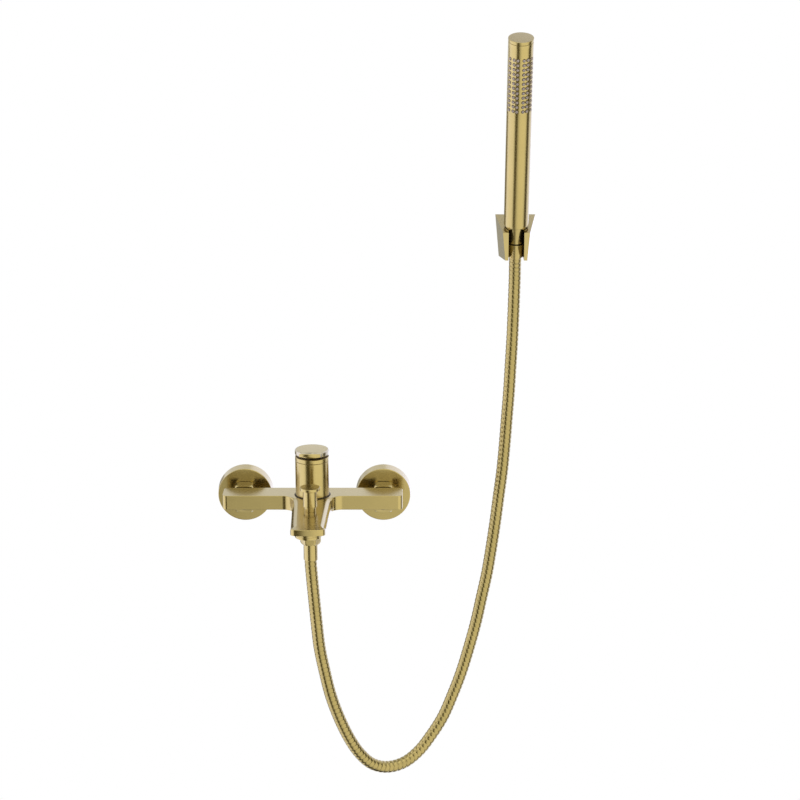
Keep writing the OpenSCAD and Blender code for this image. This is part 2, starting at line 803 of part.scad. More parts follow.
module handle() {
    hub_z = cap_bottom - hub_drop;
    color(gold) difference() {
        union() {
            difference() {
                union() {
                    translate([0, -tower_out, cap_bottom]) edged_disc(cap_r, cap_h, edge_chamfer);
                    lever();
                }
                translate([0, -tower_out, cap_bottom - over])
                    cylinder(r = cap_r - cap_rim, h = cap_h - cap_skin + over);
            }
            translate([0, -tower_out, hub_z]) cylinder(r = hub_r, h = cap_top - cap_skin - hub_z + over);
        }
        translate([-stem_w / 2 - fit, -tower_out - stem_w / 2 - fit, hub_z - over])
            cube([stem_w + 2 * fit, stem_w + 2 * fit, cap_top - cap_skin - hub_z + over]);
        outward(0, tower_out, handle_screw_z) cylinder(r = handle_screw_r + fit, h = hub_r + over);
    }
}

// A screw with no head and a hexagonal socket, its tip at the origin
module grub_screw(r, len) {
    difference() {
        cylinder(r = r, h = len);
        translate([0, 0, len * 0.4]) cylinder(r = r * 0.55, h = len, $fn = 6);
    }
}

module handle_grub_screw() {
    color(steel) outward(0, tower_out + stem_w / 2 + fit, handle_screw_z)
        grub_screw(handle_screw_r, hub_r - stem_w / 2 - 2 * fit);
}

module diverter_gland() {
    color(gold) translate([0, -diverter_out, bar_top]) difference() {
        union() {
            cylinder(r = gland_r, h = gland_top - bar_top);
            translate([0, 0, -gland_foot_h]) cylinder(r = gland_foot_r, h = gland_foot_h + over);
        }
        translate([0, 0, -gland_foot_h - over]) cylinder(r = rod_r + running, h = gland_top);
        translate([0, 0, gland_seal_z - bar_top]) cylinder(r = gland_seal_r + fit, h = gland_seal_h);
    }
}

module gland_seal() {
    color(rubber) translate([0, -diverter_out, gland_seal_z + fit])
        ring(gland_seal_r, rod_r + running, gland_seal_h - 2 * fit);
}

module diverter_rod() {
    color(steel) translate([0, -diverter_out, piston_bottom])
        cylinder(r = rod_r, h = rod_top - piston_bottom);
}

module diverter_piston() {
    color(gold) translate([0, -diverter_out, piston_bottom]) difference() {
        cylinder(r = piston_r, h = piston_h);
        translate([0, 0, piston_floor_t]) cylinder(r = piston_room_r, h = piston_h);
        translate([0, 0, -over]) cylinder(r = rod_r + fit, h = piston_h);
        translate([0, 0, piston_groove_h / 2]) ring(piston_r + over, piston_groove_r, piston_groove_h);
    }
}

module piston_seal() {
    color(rubber) translate([0, -diverter_out, piston_bottom + piston_groove_h / 2 + fit])
        ring(piston_r, piston_groove_r + fit, piston_groove_h - 2 * fit);
}

module diverter_spring() {
    start = piston_bottom + piston_floor_t + spring_wire_r + fit;
    rise = bar_top - gland_foot_h - spring_wire_r - fit - start;
    steps = spring_turns * spring_steps;
    helix = [
        for (i = [0:steps]) let (a = 360 * i / spring_steps)
            [spring_r * cos(a), spring_r * sin(a) - diverter_out, start + rise * i / steps]
    ];
    color(steel) swept_rod(helix, spring_wire_r, 6, [0, 0, 1]);
}

module diverter_knob() {
    color(gold) translate([0, -diverter_out, 0]) difference() {
        union() {
            translate([0, 0, knob_neck_z]) cylinder(r = knob_neck_r, h = knob_neck_h);
            translate([0, 0, knob_disc_z]) edged_disc(knob_r, knob_t, edge_chamfer);
        }
        translate([0, 0, knob_neck_z - over])
            cylinder(r = gland_r + running, h = gland_top + free_gap - knob_neck_z + over);
        translate([0, 0, knob_neck_z]) cylinder(r = rod_r + fit, h = rod_top + fit - knob_neck_z);
    }
}

module aerator_housing() {
    color(gold) translate([0, -aerator_out, aerator_top]) difference() {
        union() {
            translate([0, 0, -aerator_h]) cylinder(r = aerator_r, h = aerator_h);
            cylinder(r = aerator_thread_r, h = aerator_thread_h);
        }
        translate([0, 0, aerator_lip_t - aerator_h])
            cylinder(r = aerator_bore_r, h = aerator_h + aerator_thread_h);
        translate([0, 0, -aerator_h - over]) cylinder(r = aerator_bore_r - 1, h = aerator_h);
    }
}

module aerator_insert() {
    insert_h = aerator_h + aerator_thread_h - aerator_lip_t;
    color(plastic) translate([0, -aerator_out, aerator_top - aerator_h + aerator_lip_t]) difference() {
        cylinder(r = aerator_bore_r - fit, h = insert_h);
        for (ring_n = [0:2], k = [0:max(0, 6 * ring_n - 1)]) {
            rotate(60 * k / max(1, ring_n)) translate([aerator_hole_pitch * ring_n, 0, -over])
                cylinder(r = aerator_hole_r, h = insert_h + 2 * over);
        }
    }
}

module aerator_washer() {
    color(rubber) translate([0, -aerator_out, aerator_top + aerator_thread_h])
        ring(aerator_thread_r, aerator_chamber_r, aerator_washer_t);
}

module hose_check_valve() {
    color(plastic) translate([0, -diverter_out, outlet_thread_end + 1])
        check_valve(outlet_bore_r - fit, outlet_valve_len - 1);
}

module hose_washer() {
    color(rubber) translate([0, -diverter_out, hose_washer_z])
        ring(hose_thread_r - fit, washer_hole_r, washer_t);
}

module hose_nut() {
    color(gold) translate([0, -diverter_out, hose_nut_z]) difference() {
        hexagon(hose_nut_af, hose_nut_h, hose_nut_chamfer);
        translate([0, 0, hose_nut_lip_t]) cylinder(r = hose_thread_r + fit, h = hose_nut_h);
        translate([0, 0, -over]) cylinder(r = hose_tail_r + fit, h = hose_nut_h);
    }
}

// A barbed tail that ends in a flange, its flange's upper face at the origin
module hose_tail(flange_r, len) {
    difference() {
        union() {
            translate([0, 0, -hose_tail_flange_t]) cylinder(r = flange_r, h = hose_tail_flange_t);
            translate([0, 0, -len]) cylinder(r = hose_tail_r, h = len);
        }
        translate([0, 0, -len - over]) cylinder(r = hose_tail_bore_r, h = len + 2 * over);
    }
}

module hose_tail_lower() {
    color(gold) translate([0, -diverter_out, hose_washer_z])
        hose_tail(hose_tail_flange_r, hose_washer_z - ferrule_z - 1);
}

module ferrule_lower() {
    color(gold) translate([0, -diverter_out, ferrule_z]) ring(ferrule_r, hose_tail_r + fit, ferrule_len);
}

module hose() {
    path = [for (p = hose_route) [p[0], -p[1], p[2]]];
    color(hose_gold) swept_rod(path, hose_r, hose_sides, [0, 1, 0]);
}

module ferrule_upper() {
    color(gold) on_shower(upper_ferrule_s)
        ring(upper_ferrule_r, hose_tail_r + fit, upper_ferrule_top_s - upper_ferrule_s);
}

module hose_tail_upper() {
    top_s = upper_flange_s + hose_tail_flange_t;
    color(gold) on_shower(top_s) hose_tail(upper_flange_r, top_s - upper_ferrule_s - 1);
}

// Radius of the cone nut at s
function cone_r(s) = cone_top_r - (cone_top_r - cone_bottom_r) * (cone_top_s - s) / cone_h;

module cone_nut() {
    color(gold) on_shower(cone_bottom_s) difference() {
        cylinder(r1 = cone_bottom_r, r2 = cone_top_r, h = cone_h);
        translate([0, 0, cone_lip_s + cone_lip_t - cone_bottom_s])
            cylinder(r = hose_thread_r + fit, h = cone_h);
        translate([0, 0, -over]) cylinder(r = hose_tail_r + running, h = cone_h);
        translate([0, 0, -over])
            cylinder(r = upper_ferrule_r + free_gap, h = cone_lip_s - cone_bottom_s + over);
        translate([0, 0, cone_groove_s - cone_bottom_s])
            ring(cone_top_r, cone_r(cone_groove_s) - cone_groove_depth, cone_groove_h);
    }
}

module handset_washer() {
    color(rubber) on_shower(handset_washer_s) ring(hose_thread_r - fit, washer_hole_r, washer_t);
}

module handset_inlet() {
    top_s = tube_s + tube_floor_t + 4;
    color(gold) on_shower(0) difference() {
        union() {
            translate([0, 0, inlet_end_s]) cylinder(r = hose_thread_r, h = top_s - inlet_end_s);
            translate([0, 0, tube_s + tube_floor_t]) cylinder(r = inlet_flange_r, h = inlet_flange_t);
        }
        translate([0, 0, inlet_end_s - over]) cylinder(r = inlet_bore_r, h = top_s - inlet_end_s + 2 * over);
        translate([0, 0, inlet_end_s - over]) cylinder(r = limiter_r, h = limiter_t + over);
        translate([0, 0, tube_s + 2]) cylinder(r = inner_tube_r + fit, h = top_s);
    }
}

module flow_limiter() {
    color(plastic) on_shower(inlet_end_s) difference() {
        cylinder(r = limiter_r - fit, h = limiter_t);
        for (a = [0:60:300]) {
            rotate(a) translate([3, 0, -over]) cylinder(r = 0.8, h = limiter_t + 2 * over);
        }
    }
}

module handset_inner_tube() {
    start = tube_s + 2;
    color(plastic) on_shower(start)
        ring(inner_tube_r, inner_tube_r - inner_tube_wall, spray_carrier_s + carrier_floor_t - start);
}

// Repeats a piece at every nozzle, at a radius r, its local +Z pointing out of the tube
module at_nozzles(r) {
    for (a = nozzle_angles, row = [0:nozzle_rows - 1]) {
        rotate(a) translate([0, -r, first_row_s + row * nozzle_pitch]) rotate([90, 0, 0]) children();
    }
}

module handset_tube() {
    color(gold) on_shower(0) difference() {
        translate([0, 0, tube_s]) cylinder(r = tube_r, h = end_cap_s - end_cap_line - tube_s);
        translate([0, 0, tube_s + tube_floor_t]) cylinder(r = tube_bore_r, h = tube_len);
        translate([0, 0, tube_s - over]) cylinder(r = hose_thread_r + fit, h = tube_len);
        at_nozzles(tube_bore_r - over) cylinder(r = nozzle_r + 3 * fit, h = tube_wall + 2 * over);
    }
}

module spray_carrier() {
    h = spray_carrier_top_s - spray_carrier_s;
    slot_s = first_row_s - 2;
    slot_h = last_row_s + 2 - slot_s;
    color(plastic) on_shower(0) difference() {
        translate([0, 0, spray_carrier_s]) cylinder(r = carrier_r, h = h);
        translate([0, 0, spray_carrier_s + carrier_floor_t])
            cylinder(r = carrier_r - carrier_wall, h = h - 2 * carrier_floor_t);
        translate([0, 0, spray_carrier_s - over])
            cylinder(r = inner_tube_r + fit, h = carrier_floor_t + 2 * over);
        for (a = nozzle_angles) {
            rotate(a) translate([-carrier_slot_w / 2, -carrier_r - over, slot_s])
                cube([carrier_slot_w, carrier_r, slot_h]);
        }
    }
}

module nozzle_mat() {
    mat_s = first_row_s - mat_margin;
    mat_r = tube_bore_r - 2 * fit;
    wedge = 4 * tube_r;
    color(silicone) on_shower(0) difference() {
        union() {
            intersection() {
                translate([0, 0, mat_s]) ring(mat_r, mat_r - mat_t, last_row_s + mat_margin - mat_s);
                translate([0, 0, mat_s - over]) linear_extrude(tube_len) polygon([
                    [0, 0], [-wedge * sin(mat_half_angle), -wedge * cos(mat_half_angle)],
                    [wedge * sin(mat_half_angle), -wedge * cos(mat_half_angle)]
                ]);
            }
            at_nozzles(mat_r - mat_t / 2) cylinder(r = nozzle_r, h = tube_r + nozzle_out - mat_r + mat_t / 2);
        }
        at_nozzles(mat_r - mat_t - over)
            cylinder(r = nozzle_hole_r, h = tube_r + nozzle_out - mat_r + mat_t + 2 * over);
    }
}

module handset_cap() {
    plug_r_out = tube_bore_r - fit;
    plug_s = end_cap_s - end_plug_h;
    color(gold) on_shower(0) difference() {
        union() {
            translate([0, 0, end_cap_s]) edged_disc(tube_r, end_cap_t, edge_chamfer);
            translate([0, 0, plug_s]) cylinder(r = plug_r_out, h = end_plug_h + over);
        }
        translate([0, 0, plug_s + 2]) ring(tube_r, plug_r_out - cap_seal_w, cap_seal_h);
    }
}

module cap_seal() {
    color(rubber) on_shower(end_cap_s - end_plug_h + 2 + fit)
        ring(tube_bore_r - fit, tube_bore_r - cap_seal_w, cap_seal_h - 2 * fit);
}

// Half space that trims the holder's right side
module holder_side_cut() {
    far = 3 * holder_w;
    translate([holder_w / 2, 0, holder_top]) rotate([0, holder_side_taper, -holder_plan_taper])
        translate([0, -far / 2, -far / 2]) cube([far, far, far]);
}

module holder_block() {
    bottom = holder_top - holder_h;
    difference() {
        rotate([90, 0, 90]) translate([0, 0, -holder_w / 2]) linear_extrude(holder_w) polygon([
            [0, bottom], [0, holder_top], [-holder_depth, holder_top - holder_front_drop],
            [-holder_depth, bottom + holder_bottom_rise]
        ]);
        holder_side_cut();
        mirror([1, 0, 0]) holder_side_cut();
    }
}

module holder_bracket() {
    pocket_w = plate_w + 2 * fit;
    pocket_h = plate_h + 2 * fit;
    rim = 4 * over;
    rim_r = cone_r(cone_top_s + rim) + free_gap;
    color(gold) difference() {
        translate([holder_x, 0, 0]) holder_block();
        on_shower(cone_bottom_s) cylinder(r1 = cone_bottom_r + free_gap, r2 = rim_r, h = cone_h + rim);
        on_shower(cone_bottom_s - cone_h / 2) cylinder(r = cone_bottom_r + free_gap, h = cone_h / 2 + fit);
        on_shower(0) translate([-slot_w / 2, -2 * holder_depth, -2 * cone_h])
            cube([slot_w, 2 * holder_depth, 3 * cone_h]);
        translate([holder_x - pocket_w / 2, -plate_t - fit, plate_z - pocket_h / 2])
            cube([pocket_w, plate_t + fit + over, pocket_h]);
        translate([holder_x, -plate_t / 2, plate_z - plate_h / 2 - holder_h / 2])
            cylinder(r = holder_screw_r + fit, h = holder_h / 2);
    }
}

module at_wall_screws() {
    for (dz = [-screw_pitch / 2, screw_pitch / 2]) {
        translate([holder_x, 0, screw_mid_z + dz]) rotate([90, 0, 0]) children();
    }
}

module holder_wall_plate() {
    color(steel) difference() {
        translate([holder_x - plate_w / 2, -plate_t, plate_z - plate_h / 2])
            cube([plate_w, plate_t, plate_h]);
        at_wall_screws() {
            sink_h = wall_screw_head_h + 2 * fit;
            translate([0, 0, -over]) cylinder(r = wall_screw_r + fit, h = plate_t + 2 * over);
            translate([0, 0, plate_t - wall_screw_head_h - fit])
                cylinder(r1 = wall_screw_r + fit, r2 = wall_screw_head_r + 2 * fit, h = sink_h);
        }
    }
}

module holder_screws() {
    color(steel) at_wall_screws() difference() {
        union() {
            translate([0, 0, plate_t - wall_screw_head_h])
                cylinder(r1 = wall_screw_r, r2 = wall_screw_head_r, h = wall_screw_head_h);
            translate([0, 0, -wall_screw_len]) cylinder(r = wall_screw_r, h = wall_screw_len + plate_t - 1);
        }
        translate([-2.2, -0.4, plate_t - 1.2]) cube([4.4, 0.8, 2]);
        translate([-0.4, -2.2, plate_t - 1.2]) cube([0.8, 4.4, 2]);
    }
}

module wall_plugs() {
    color(plastic) at_wall_screws() difference() {
        translate([0, 0, -plug_len]) cylinder(r = plug_r, h = plug_len);
        translate([0, 0, -wall_screw_len - fit]) cylinder(r = wall_screw_r + fit, h = plug_len);
    }
}

module holder_grub_screw() {
    color(steel) translate([holder_x, -plate_t / 2, plate_z - plate_h / 2]) rotate([180, 0, 0])
        grub_screw(holder_screw_r, holder_screw_len);
}

wall_flange(-inlet_pitch / 2);  // wall_flange_left
wall_flange(inlet_pitch / 2);  // wall_flange_right
s_union(-inlet_pitch / 2);  // s_union_left
s_union(inlet_pitch / 2);  // s_union_right
union_nut(-inlet_pitch / 2);  // union_nut_left
union_nut(inlet_pitch / 2);  // union_nut_right
inlet_strainers();
inlet_check_valves();
mixer_body();
tower_sleeve();
sleeve_ring();
cartridge_base();
cartridge_seals();
fixed_disc();
moving_disc();
disc_carrier();
cartridge_housing();
stem_guide();
stem_pin();
cartridge_stem();
cartridge_nut();
handle();
handle_grub_screw();
diverter_gland();
gland_seal();
diverter_rod();
diverter_piston();
piston_seal();
diverter_spring();
diverter_knob();
aerator_housing();
aerator_insert();
aerator_washer();
hose_check_valve();
hose_washer();
hose_nut();
hose_tail_lower();
ferrule_lower();
hose();
ferrule_upper();
hose_tail_upper();
cone_nut();
handset_washer();
handset_inlet();
flow_limiter();
handset_inner_tube();
handset_tube();
spray_carrier();
nozzle_mat();
handset_cap();
cap_seal();
holder_bracket();
holder_wall_plate();
holder_screws();
wall_plugs();
holder_grub_screw();
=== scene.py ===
import math

import bmesh
import bpy
from mathutils import Matrix, Vector


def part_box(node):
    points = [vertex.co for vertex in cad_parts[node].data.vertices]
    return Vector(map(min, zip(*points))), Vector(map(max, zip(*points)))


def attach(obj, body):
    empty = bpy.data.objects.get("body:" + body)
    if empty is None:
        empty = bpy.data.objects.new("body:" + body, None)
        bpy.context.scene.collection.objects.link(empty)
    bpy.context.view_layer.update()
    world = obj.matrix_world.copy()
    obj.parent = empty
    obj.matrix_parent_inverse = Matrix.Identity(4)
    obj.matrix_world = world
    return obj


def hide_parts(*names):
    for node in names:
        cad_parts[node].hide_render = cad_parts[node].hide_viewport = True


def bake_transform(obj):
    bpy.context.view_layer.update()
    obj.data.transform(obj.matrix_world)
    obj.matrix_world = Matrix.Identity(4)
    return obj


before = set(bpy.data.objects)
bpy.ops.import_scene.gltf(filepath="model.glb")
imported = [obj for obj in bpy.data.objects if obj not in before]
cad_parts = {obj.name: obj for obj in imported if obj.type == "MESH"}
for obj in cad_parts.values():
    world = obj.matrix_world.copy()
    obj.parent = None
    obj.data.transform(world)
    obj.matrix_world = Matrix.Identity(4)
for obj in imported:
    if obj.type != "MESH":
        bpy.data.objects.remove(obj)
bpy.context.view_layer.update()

# A wall mounted bath faucet in satin gold. The wall is the plane Y = 0, the user stands on
# the -Y side and +Z is up. Sizes of the object are in millimetres, and MM turns them into the
# scene's metres. The camera and the studio are in metres.
MM = 0.001
SEGMENTS = 96
SEGMENTS_WIDE = 128


# ---------------------------------------------------------------- places from the frame

def low(node):
    """The lower corner of a CAD node's box, in mm."""
    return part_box(node)[0] / MM


def high(node):
    """The upper corner of a CAD node's box, in mm."""
    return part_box(node)[1] / MM


def middle(node):
    return (low(node) + high(node)) / 2


def outward(x, out, z):
    """A place a distance out from the wall, in mm, whose local +Z points out of the wall."""
    return Matrix.Translation(Vector((x, -out, z)) * MM) @ Matrix.Rotation(math.radians(90), 4, "X")


def upright(x, y, z=0):
    return Matrix.Translation(Vector((x, y, z)) * MM)


# The hand shower's own frame. Its origin is in the holder, and its local +Z runs up the hand
# shower, which leans towards the user.
SHOWER_LEAN = 17.5
SHOWER = upright(215, -25, 298.3) @ Matrix.Rotation(math.radians(SHOWER_LEAN), 4, "X")


# ---------------------------------------------------------------- camera

CAMERA_AT = Vector((0.11145, -2.378, 0.7777))
CAMERA_PITCH = 74.15
CAMERA_LENS = 103.1
CAMERA_SHIFT = -0.0213
CAMERA_SENSOR = 36
CAMERA_CLIP_END = 50


def make_camera():
    camera = bpy.data.objects.new("camera", bpy.data.cameras.new("camera"))
    camera.location = CAMERA_AT
    camera.rotation_euler = (math.radians(CAMERA_PITCH), 0, 0)
    camera.data.lens = CAMERA_LENS
    camera.data.shift_x = CAMERA_SHIFT
    camera.data.sensor_width = CAMERA_SENSOR
    camera.data.clip_end = CAMERA_CLIP_END
    bpy.context.scene.collection.objects.link(camera)
    bpy.context.scene.camera = camera
    bpy.context.scene.view_settings.view_transform = "Standard"


# ---------------------------------------------------------------- materials

# A noise lies almost wholly between these two values.
NOISE_LOW = 0.3
NOISE_HIGH = 0.7
CLOUD_SCALE = 30
GRAIN_DETAIL = 4
GRAIN_SHADE = 0.96
WORN_FROM = 0.52
WORN_TO = 0.6
BUMP_DEPTH = 0.1
COAT_ROUGHNESS = 0.2


def add(tree, kind, **settings):
    """A new node. Each setting is one of its inputs or one of its properties."""
    node = tree.nodes.new(kind)
    for key, value in settings.items():
        if key in node.inputs:
            node.inputs[key].default_value = value
        else:
            setattr(node, key, value)
    return node


def fed(tree, kind, *values, **settings):
    """A new node whose inputs are filled in order, each with a socket to link or a value to set."""
    node = add(tree, kind, **settings)
    for socket, value in zip(node.inputs, values):
        if isinstance(value, bpy.types.NodeSocket):
            tree.links.new(value, socket)
        else:
            socket.default_value = value
    return node


def maths(tree, operation, *values):
    return fed(tree, "ShaderNodeMath", *values, operation=operation).outputs[0]


def vector_maths(tree, operation, *values):
    return fed(tree, "ShaderNodeVectorMath", *values, operation=operation).outputs


def noise(tree, stretch, scale, detail=3):
    """Noise in the object's own space, drawn out along the axes where stretch is small."""
    place = add(tree, "ShaderNodeTexCoord")
    mapping = add(tree, "ShaderNodeMapping")
    mapping.inputs["Scale"].default_value = stretch
    field = add(tree, "ShaderNodeTexNoise", Scale=scale, Detail=detail)
    tree.links.new(place.outputs["Object"], mapping.inputs["Vector"])
    tree.links.new(mapping.outputs["Vector"], field.inputs["Vector"])
    return field.outputs["Fac"]


def ramp(tree, value, *stops):
    """Colours along a value, from the first of two (position, colour) stops to the last."""
    node = add(tree, "ShaderNodeValToRGB")
    for element, (position, colour) in zip(node.color_ramp.elements, stops):
        element.position = position
        element.color = (*colour, 1)
    tree.links.new(value, node.inputs["Fac"])
    return node.outputs["Color"]


def blend_colours(tree, kind, first, second):
    node = add(tree, "ShaderNodeMix", data_type="RGBA", blend_type=kind)
    node.inputs[0].default_value = 1.0
    tree.links.new(first, node.inputs[6])
    tree.links.new(second, node.inputs[7])
    return node.outputs[2]


def spread(tree, value, low_end, high_end):
    """A noise, mapped onto a range."""
    node = add(tree, "ShaderNodeMapRange")
    ends = {"From Min": NOISE_LOW, "From Max": NOISE_HIGH, "To Min": low_end, "To Max": high_end}
    for socket, number in ends.items():
        node.inputs[socket].default_value = number
    tree.links.new(value, node.inputs["Value"])
    return node.outputs["Result"]


def surface(name, tones, roughness, metallic, grain, grain_scale, bump, edge=None, coat=0.0):
    """A finish with drifting tone, fine grain along one direction, and lighter worn edges."""
    material = bpy.data.materials.new(name)
    material.use_nodes = True
    tree = material.node_tree
    shader = tree.nodes["Principled BSDF"]
    cloud = noise(tree, EVEN, CLOUD_SCALE)
    streaks = noise(tree, grain, grain_scale, GRAIN_DETAIL)
    drift = ramp(tree, cloud, (NOISE_LOW, tones[0]), (NOISE_HIGH, tones[1]))
    fine = ramp(tree, streaks, (NOISE_LOW, (GRAIN_SHADE,) * 3), (NOISE_HIGH, (1, 1, 1)))
    colour = blend_colours(tree, "MULTIPLY", drift, fine)
    if edge:
        geometry = add(tree, "ShaderNodeNewGeometry")
        worn = ramp(tree, geometry.outputs["Pointiness"], (WORN_FROM, (0, 0, 0)), (WORN_TO, edge))
        colour = blend_colours(tree, "ADD", colour, worn)
    height = add(tree, "ShaderNodeBump", Strength=bump, Distance=BUMP_DEPTH * MM)
    tree.links.new(streaks, height.inputs["Height"])
    tree.links.new(height.outputs["Normal"], shader.inputs["Normal"])
    tree.links.new(colour, shader.inputs["Base Color"])
    tree.links.new(spread(tree, streaks, *roughness), shader.inputs["Roughness"])
    shader.inputs["Metallic"].default_value = metallic
    shader.inputs["Coat Weight"].default_value = coat
    shader.inputs["Coat Roughness"].default_value = COAT_ROUGHNESS
    return material


def paint_shade_where(material, mask):
    """Paints shade into a finish: dark, and without its coat, where the mask is 1."""
    tree = material.node_tree
    shader = tree.nodes["Principled BSDF"]
    colour = shader.inputs["Base Color"].links[0].from_socket
    dark = add(tree, "ShaderNodeRGB")
    dark.outputs[0].default_value = SHADE_COLOUR
    mix = add(tree, "ShaderNodeMix", data_type="RGBA")
    tree.links.new(mask, mix.inputs[0])
    tree.links.new(colour, mix.inputs[6])
    tree.links.new(dark.outputs[0], mix.inputs[7])
    tree.links.new(mix.outputs[2], shader.inputs["Base Color"])
    coat = shader.inputs["Coat Weight"].default_value
    tree.links.new(maths(tree, "MULTIPLY_ADD", mask, -coat, coat), shader.inputs["Coat Weight"])


def holder_painted_shade_mask(tree):
    """The holder's painted shade: 1 deep in the holder's bore and slot, less on the slot's lower walls, 0
    elsewhere.
    """
    place = add(tree, "ShaderNodeNewGeometry").outputs["Position"]
    offset = vector_maths(tree, "SUBTRACT", place, SHOWER.translation)["Vector"]
    axis = SHOWER.to_3x3() @ Vector((0, 0, 1))
    along = vector_maths(tree, "DOT_PRODUCT", offset, axis)["Value"]
    across = vector_maths(tree, "CROSS_PRODUCT", offset, axis)["Vector"]
    radius = vector_maths(tree, "LENGTH", across)["Value"]
    bore = maths(tree, "MULTIPLY_ADD", along, BORE_TAPER, BORE_RADIUS * MM)
    in_bore = maths(tree, "LESS_THAN", radius, bore)
    side = maths(tree, "ABSOLUTE", fed(tree, "ShaderNodeSeparateXYZ", offset).outputs["X"])
    in_slot = maths(tree, "LESS_THAN", side, SLOT_HALF_WIDTH * MM)
    in_either = maths(tree, "MAXIMUM", in_bore, in_slot)
    deep = maths(tree, "GREATER_THAN", along, SHADE_DEPTH * MM)
    share = maths(tree, "MULTIPLY_ADD", deep, 1 - LOWER_SHADE, LOWER_SHADE)
    return maths(tree, "MULTIPLY", in_either, share)


GOLD_TONES = ((0.385, 0.30, 0.092), (0.415, 0.322, 0.10))
# Paler, greyer gold, painted on the cap's rim band as a highlight.
RIM_HIGHLIGHT_TONES = ((0.42, 0.37, 0.25), (0.46, 0.41, 0.28))
# Added to the colour where an edge sticks out.
GOLD_EDGE = (0.05, 0.045, 0.03)
GOLD_ROUGHNESS = (0.19, 0.25)
GOLD_COAT = 0.8
GOLD_BUMP = 0.015
GRAIN_SCALE = 3000
# How far the grain is drawn out along each axis. A small number gives long streaks.
EVEN = (1, 1, 1)
ALONG_X = (0.02, 1, 1)
ALONG_Z = (1, 1, 0.02)
ROUND_Z = (0.05, 0.05, 1)
ROUND_Y = (0.05, 1, 0.05)

# The holder's bore is a cone about the hand shower's axis. Shade is painted into its recesses down to
# SHADE_DEPTH, and below that they get LOWER_SHADE of the painted shade.
BORE_RADIUS = 12.0
BORE_TAPER = 3.3 / 36.3
SLOT_HALF_WIDTH = 8.2
SHADE_DEPTH = -17.5
LOWER_SHADE = 0.45
SHADE_COLOUR = (0.02, 0.015, 0.008, 1)


def gold(name, grain, tones=GOLD_TONES):
    return surface(name, tones, GOLD_ROUGHNESS, 1.0, grain, GRAIN_SCALE, GOLD_BUMP, GOLD_EDGE, GOLD_COAT)


# Each surface has its tones, roughness, metallic, grain, grain scale and bump.
FINISH = {
    "gold_bar": gold("gold_brushed_along_the_bar", ALONG_X),
    "gold_tower": gold("gold_turned_about_z", ROUND_Z),
    "gold_wall": gold("gold_turned_about_y", ROUND_Y),
    "gold_shower": gold("gold_brushed_along_the_shower", ALONG_Z),
    "hose": surface("hose_steel_gold", ((0.325, 0.26, 0.092), (0.365, 0.29, 0.106)), (0.18, 0.25), 1.0,
                    EVEN, 900, 0.03, GOLD_EDGE, 0.1),
    "brass": surface("plain_brass", ((0.62, 0.45, 0.18), (0.70, 0.52, 0.24)), (0.28, 0.42), 1.0,
                     EVEN, 700, 0.08),
    "steel": surface("plain_steel", ((0.48, 0.49, 0.50), (0.58, 0.59, 0.60)), (0.26, 0.4), 1.0,
                     (1, 1, 0.1), 900, 0.08),
    "silicone": surface("grey_silicone", ((0.30, 0.255, 0.215), (0.36, 0.30, 0.25)), (0.55, 0.68), 0.0,
                        EVEN, 900, 0.05),
    "rubber": surface("black_rubber", ((0.018, 0.018, 0.018), (0.035, 0.034, 0.033)), (0.55, 0.7), 0.0,
                      EVEN, 1200, 0.12),
    "plastic": surface("white_acetal", ((0.70, 0.70, 0.67), (0.78, 0.78, 0.75)), (0.38, 0.5), 0.0,
                       EVEN, 600, 0.06),
    "ceramic": surface("polished_ceramic", ((0.76, 0.73, 0.66), (0.82, 0.79, 0.73)), (0.1, 0.18), 0.0,
                       EVEN, 500, 0.02),
    "rim_highlight": gold("gold_with_painted_rim_highlight", ROUND_Z, RIM_HIGHLIGHT_TONES),
    "holder": gold("gold_holder_with_painted_shade", ALONG_Z),
    # Gold with painted shade, for faces in narrow gaps under other parts.
    "gap": surface("gold_with_painted_gap_shade", ((0.17, 0.115, 0.04), (0.21, 0.145, 0.055)), (0.5, 0.6), 0.2,
                   ROUND_Z, GRAIN_SCALE, 0.02),
    "shadow": surface("gold_in_deep_shadow", ((0.03, 0.022, 0.009), (0.045, 0.033, 0.014)), (0.4, 0.5), 1.0,
                      ROUND_Z, GRAIN_SCALE, 0.02),
}
# Painted shade in the holder's bore and slot.
paint_shade_where(FINISH["holder"], holder_painted_shade_mask(FINISH["holder"].node_tree))


# ---------------------------------------------------------------- mesh tools

def object_from(bm, name):
    """Turns bm into an object of the scene."""
    mesh = bpy.data.meshes.new(name)
    bm.to_mesh(mesh)
    bm.free()
    made = bpy.data.objects.new(name, mesh)
    bpy.context.scene.collection.objects.link(made)
    return made


def finish_mesh(name, bm, finish, body, replaces=(), weighted=True):
    """Turns bm into a piece that rides on a body and stands for the CAD nodes named."""
    bmesh.ops.recalc_face_normals(bm, faces=bm.faces)
    for face in bm.faces:
        face.smooth = True
    piece = object_from(bm, name)
    piece.data.materials.append(FINISH[finish])
    if weighted:
        modifier = piece.modifiers.new("flat_faces_stay_flat", "WEIGHTED_NORMAL")
        modifier.keep_sharp = True
    if body:
        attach(piece, body)
    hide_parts(*replaces)
    return piece


def refinish(piece, finish, wanted):
    """Gives a second finish to the faces whose centre, in metres, is wanted."""
    piece.data.materials.append(FINISH[finish])
    for face in piece.data.polygons:
        face.material_index = 1 if wanted(face.center) else 0


def steps_between(start, end, count):
    return [start + (end - start) * i / count for i in range(count + 1)]


def clamp(value):
    return min(max(value, 0), 1)


def mirrored(points):
    """The points on the other side of x = 0, in the opposite order."""
    return [Vector((-p.x, p.y)) for p in reversed(points)]


def arc(centre, radius, start, end, steps):
    """Points on an arc about a centre, from one angle to another, in degrees."""
    angles = [math.radians(angle) for angle in steps_between(start, end, steps)]
    return [Vector((centre[0] + radius * math.cos(a), centre[1] + radius * math.sin(a))) for a in angles]


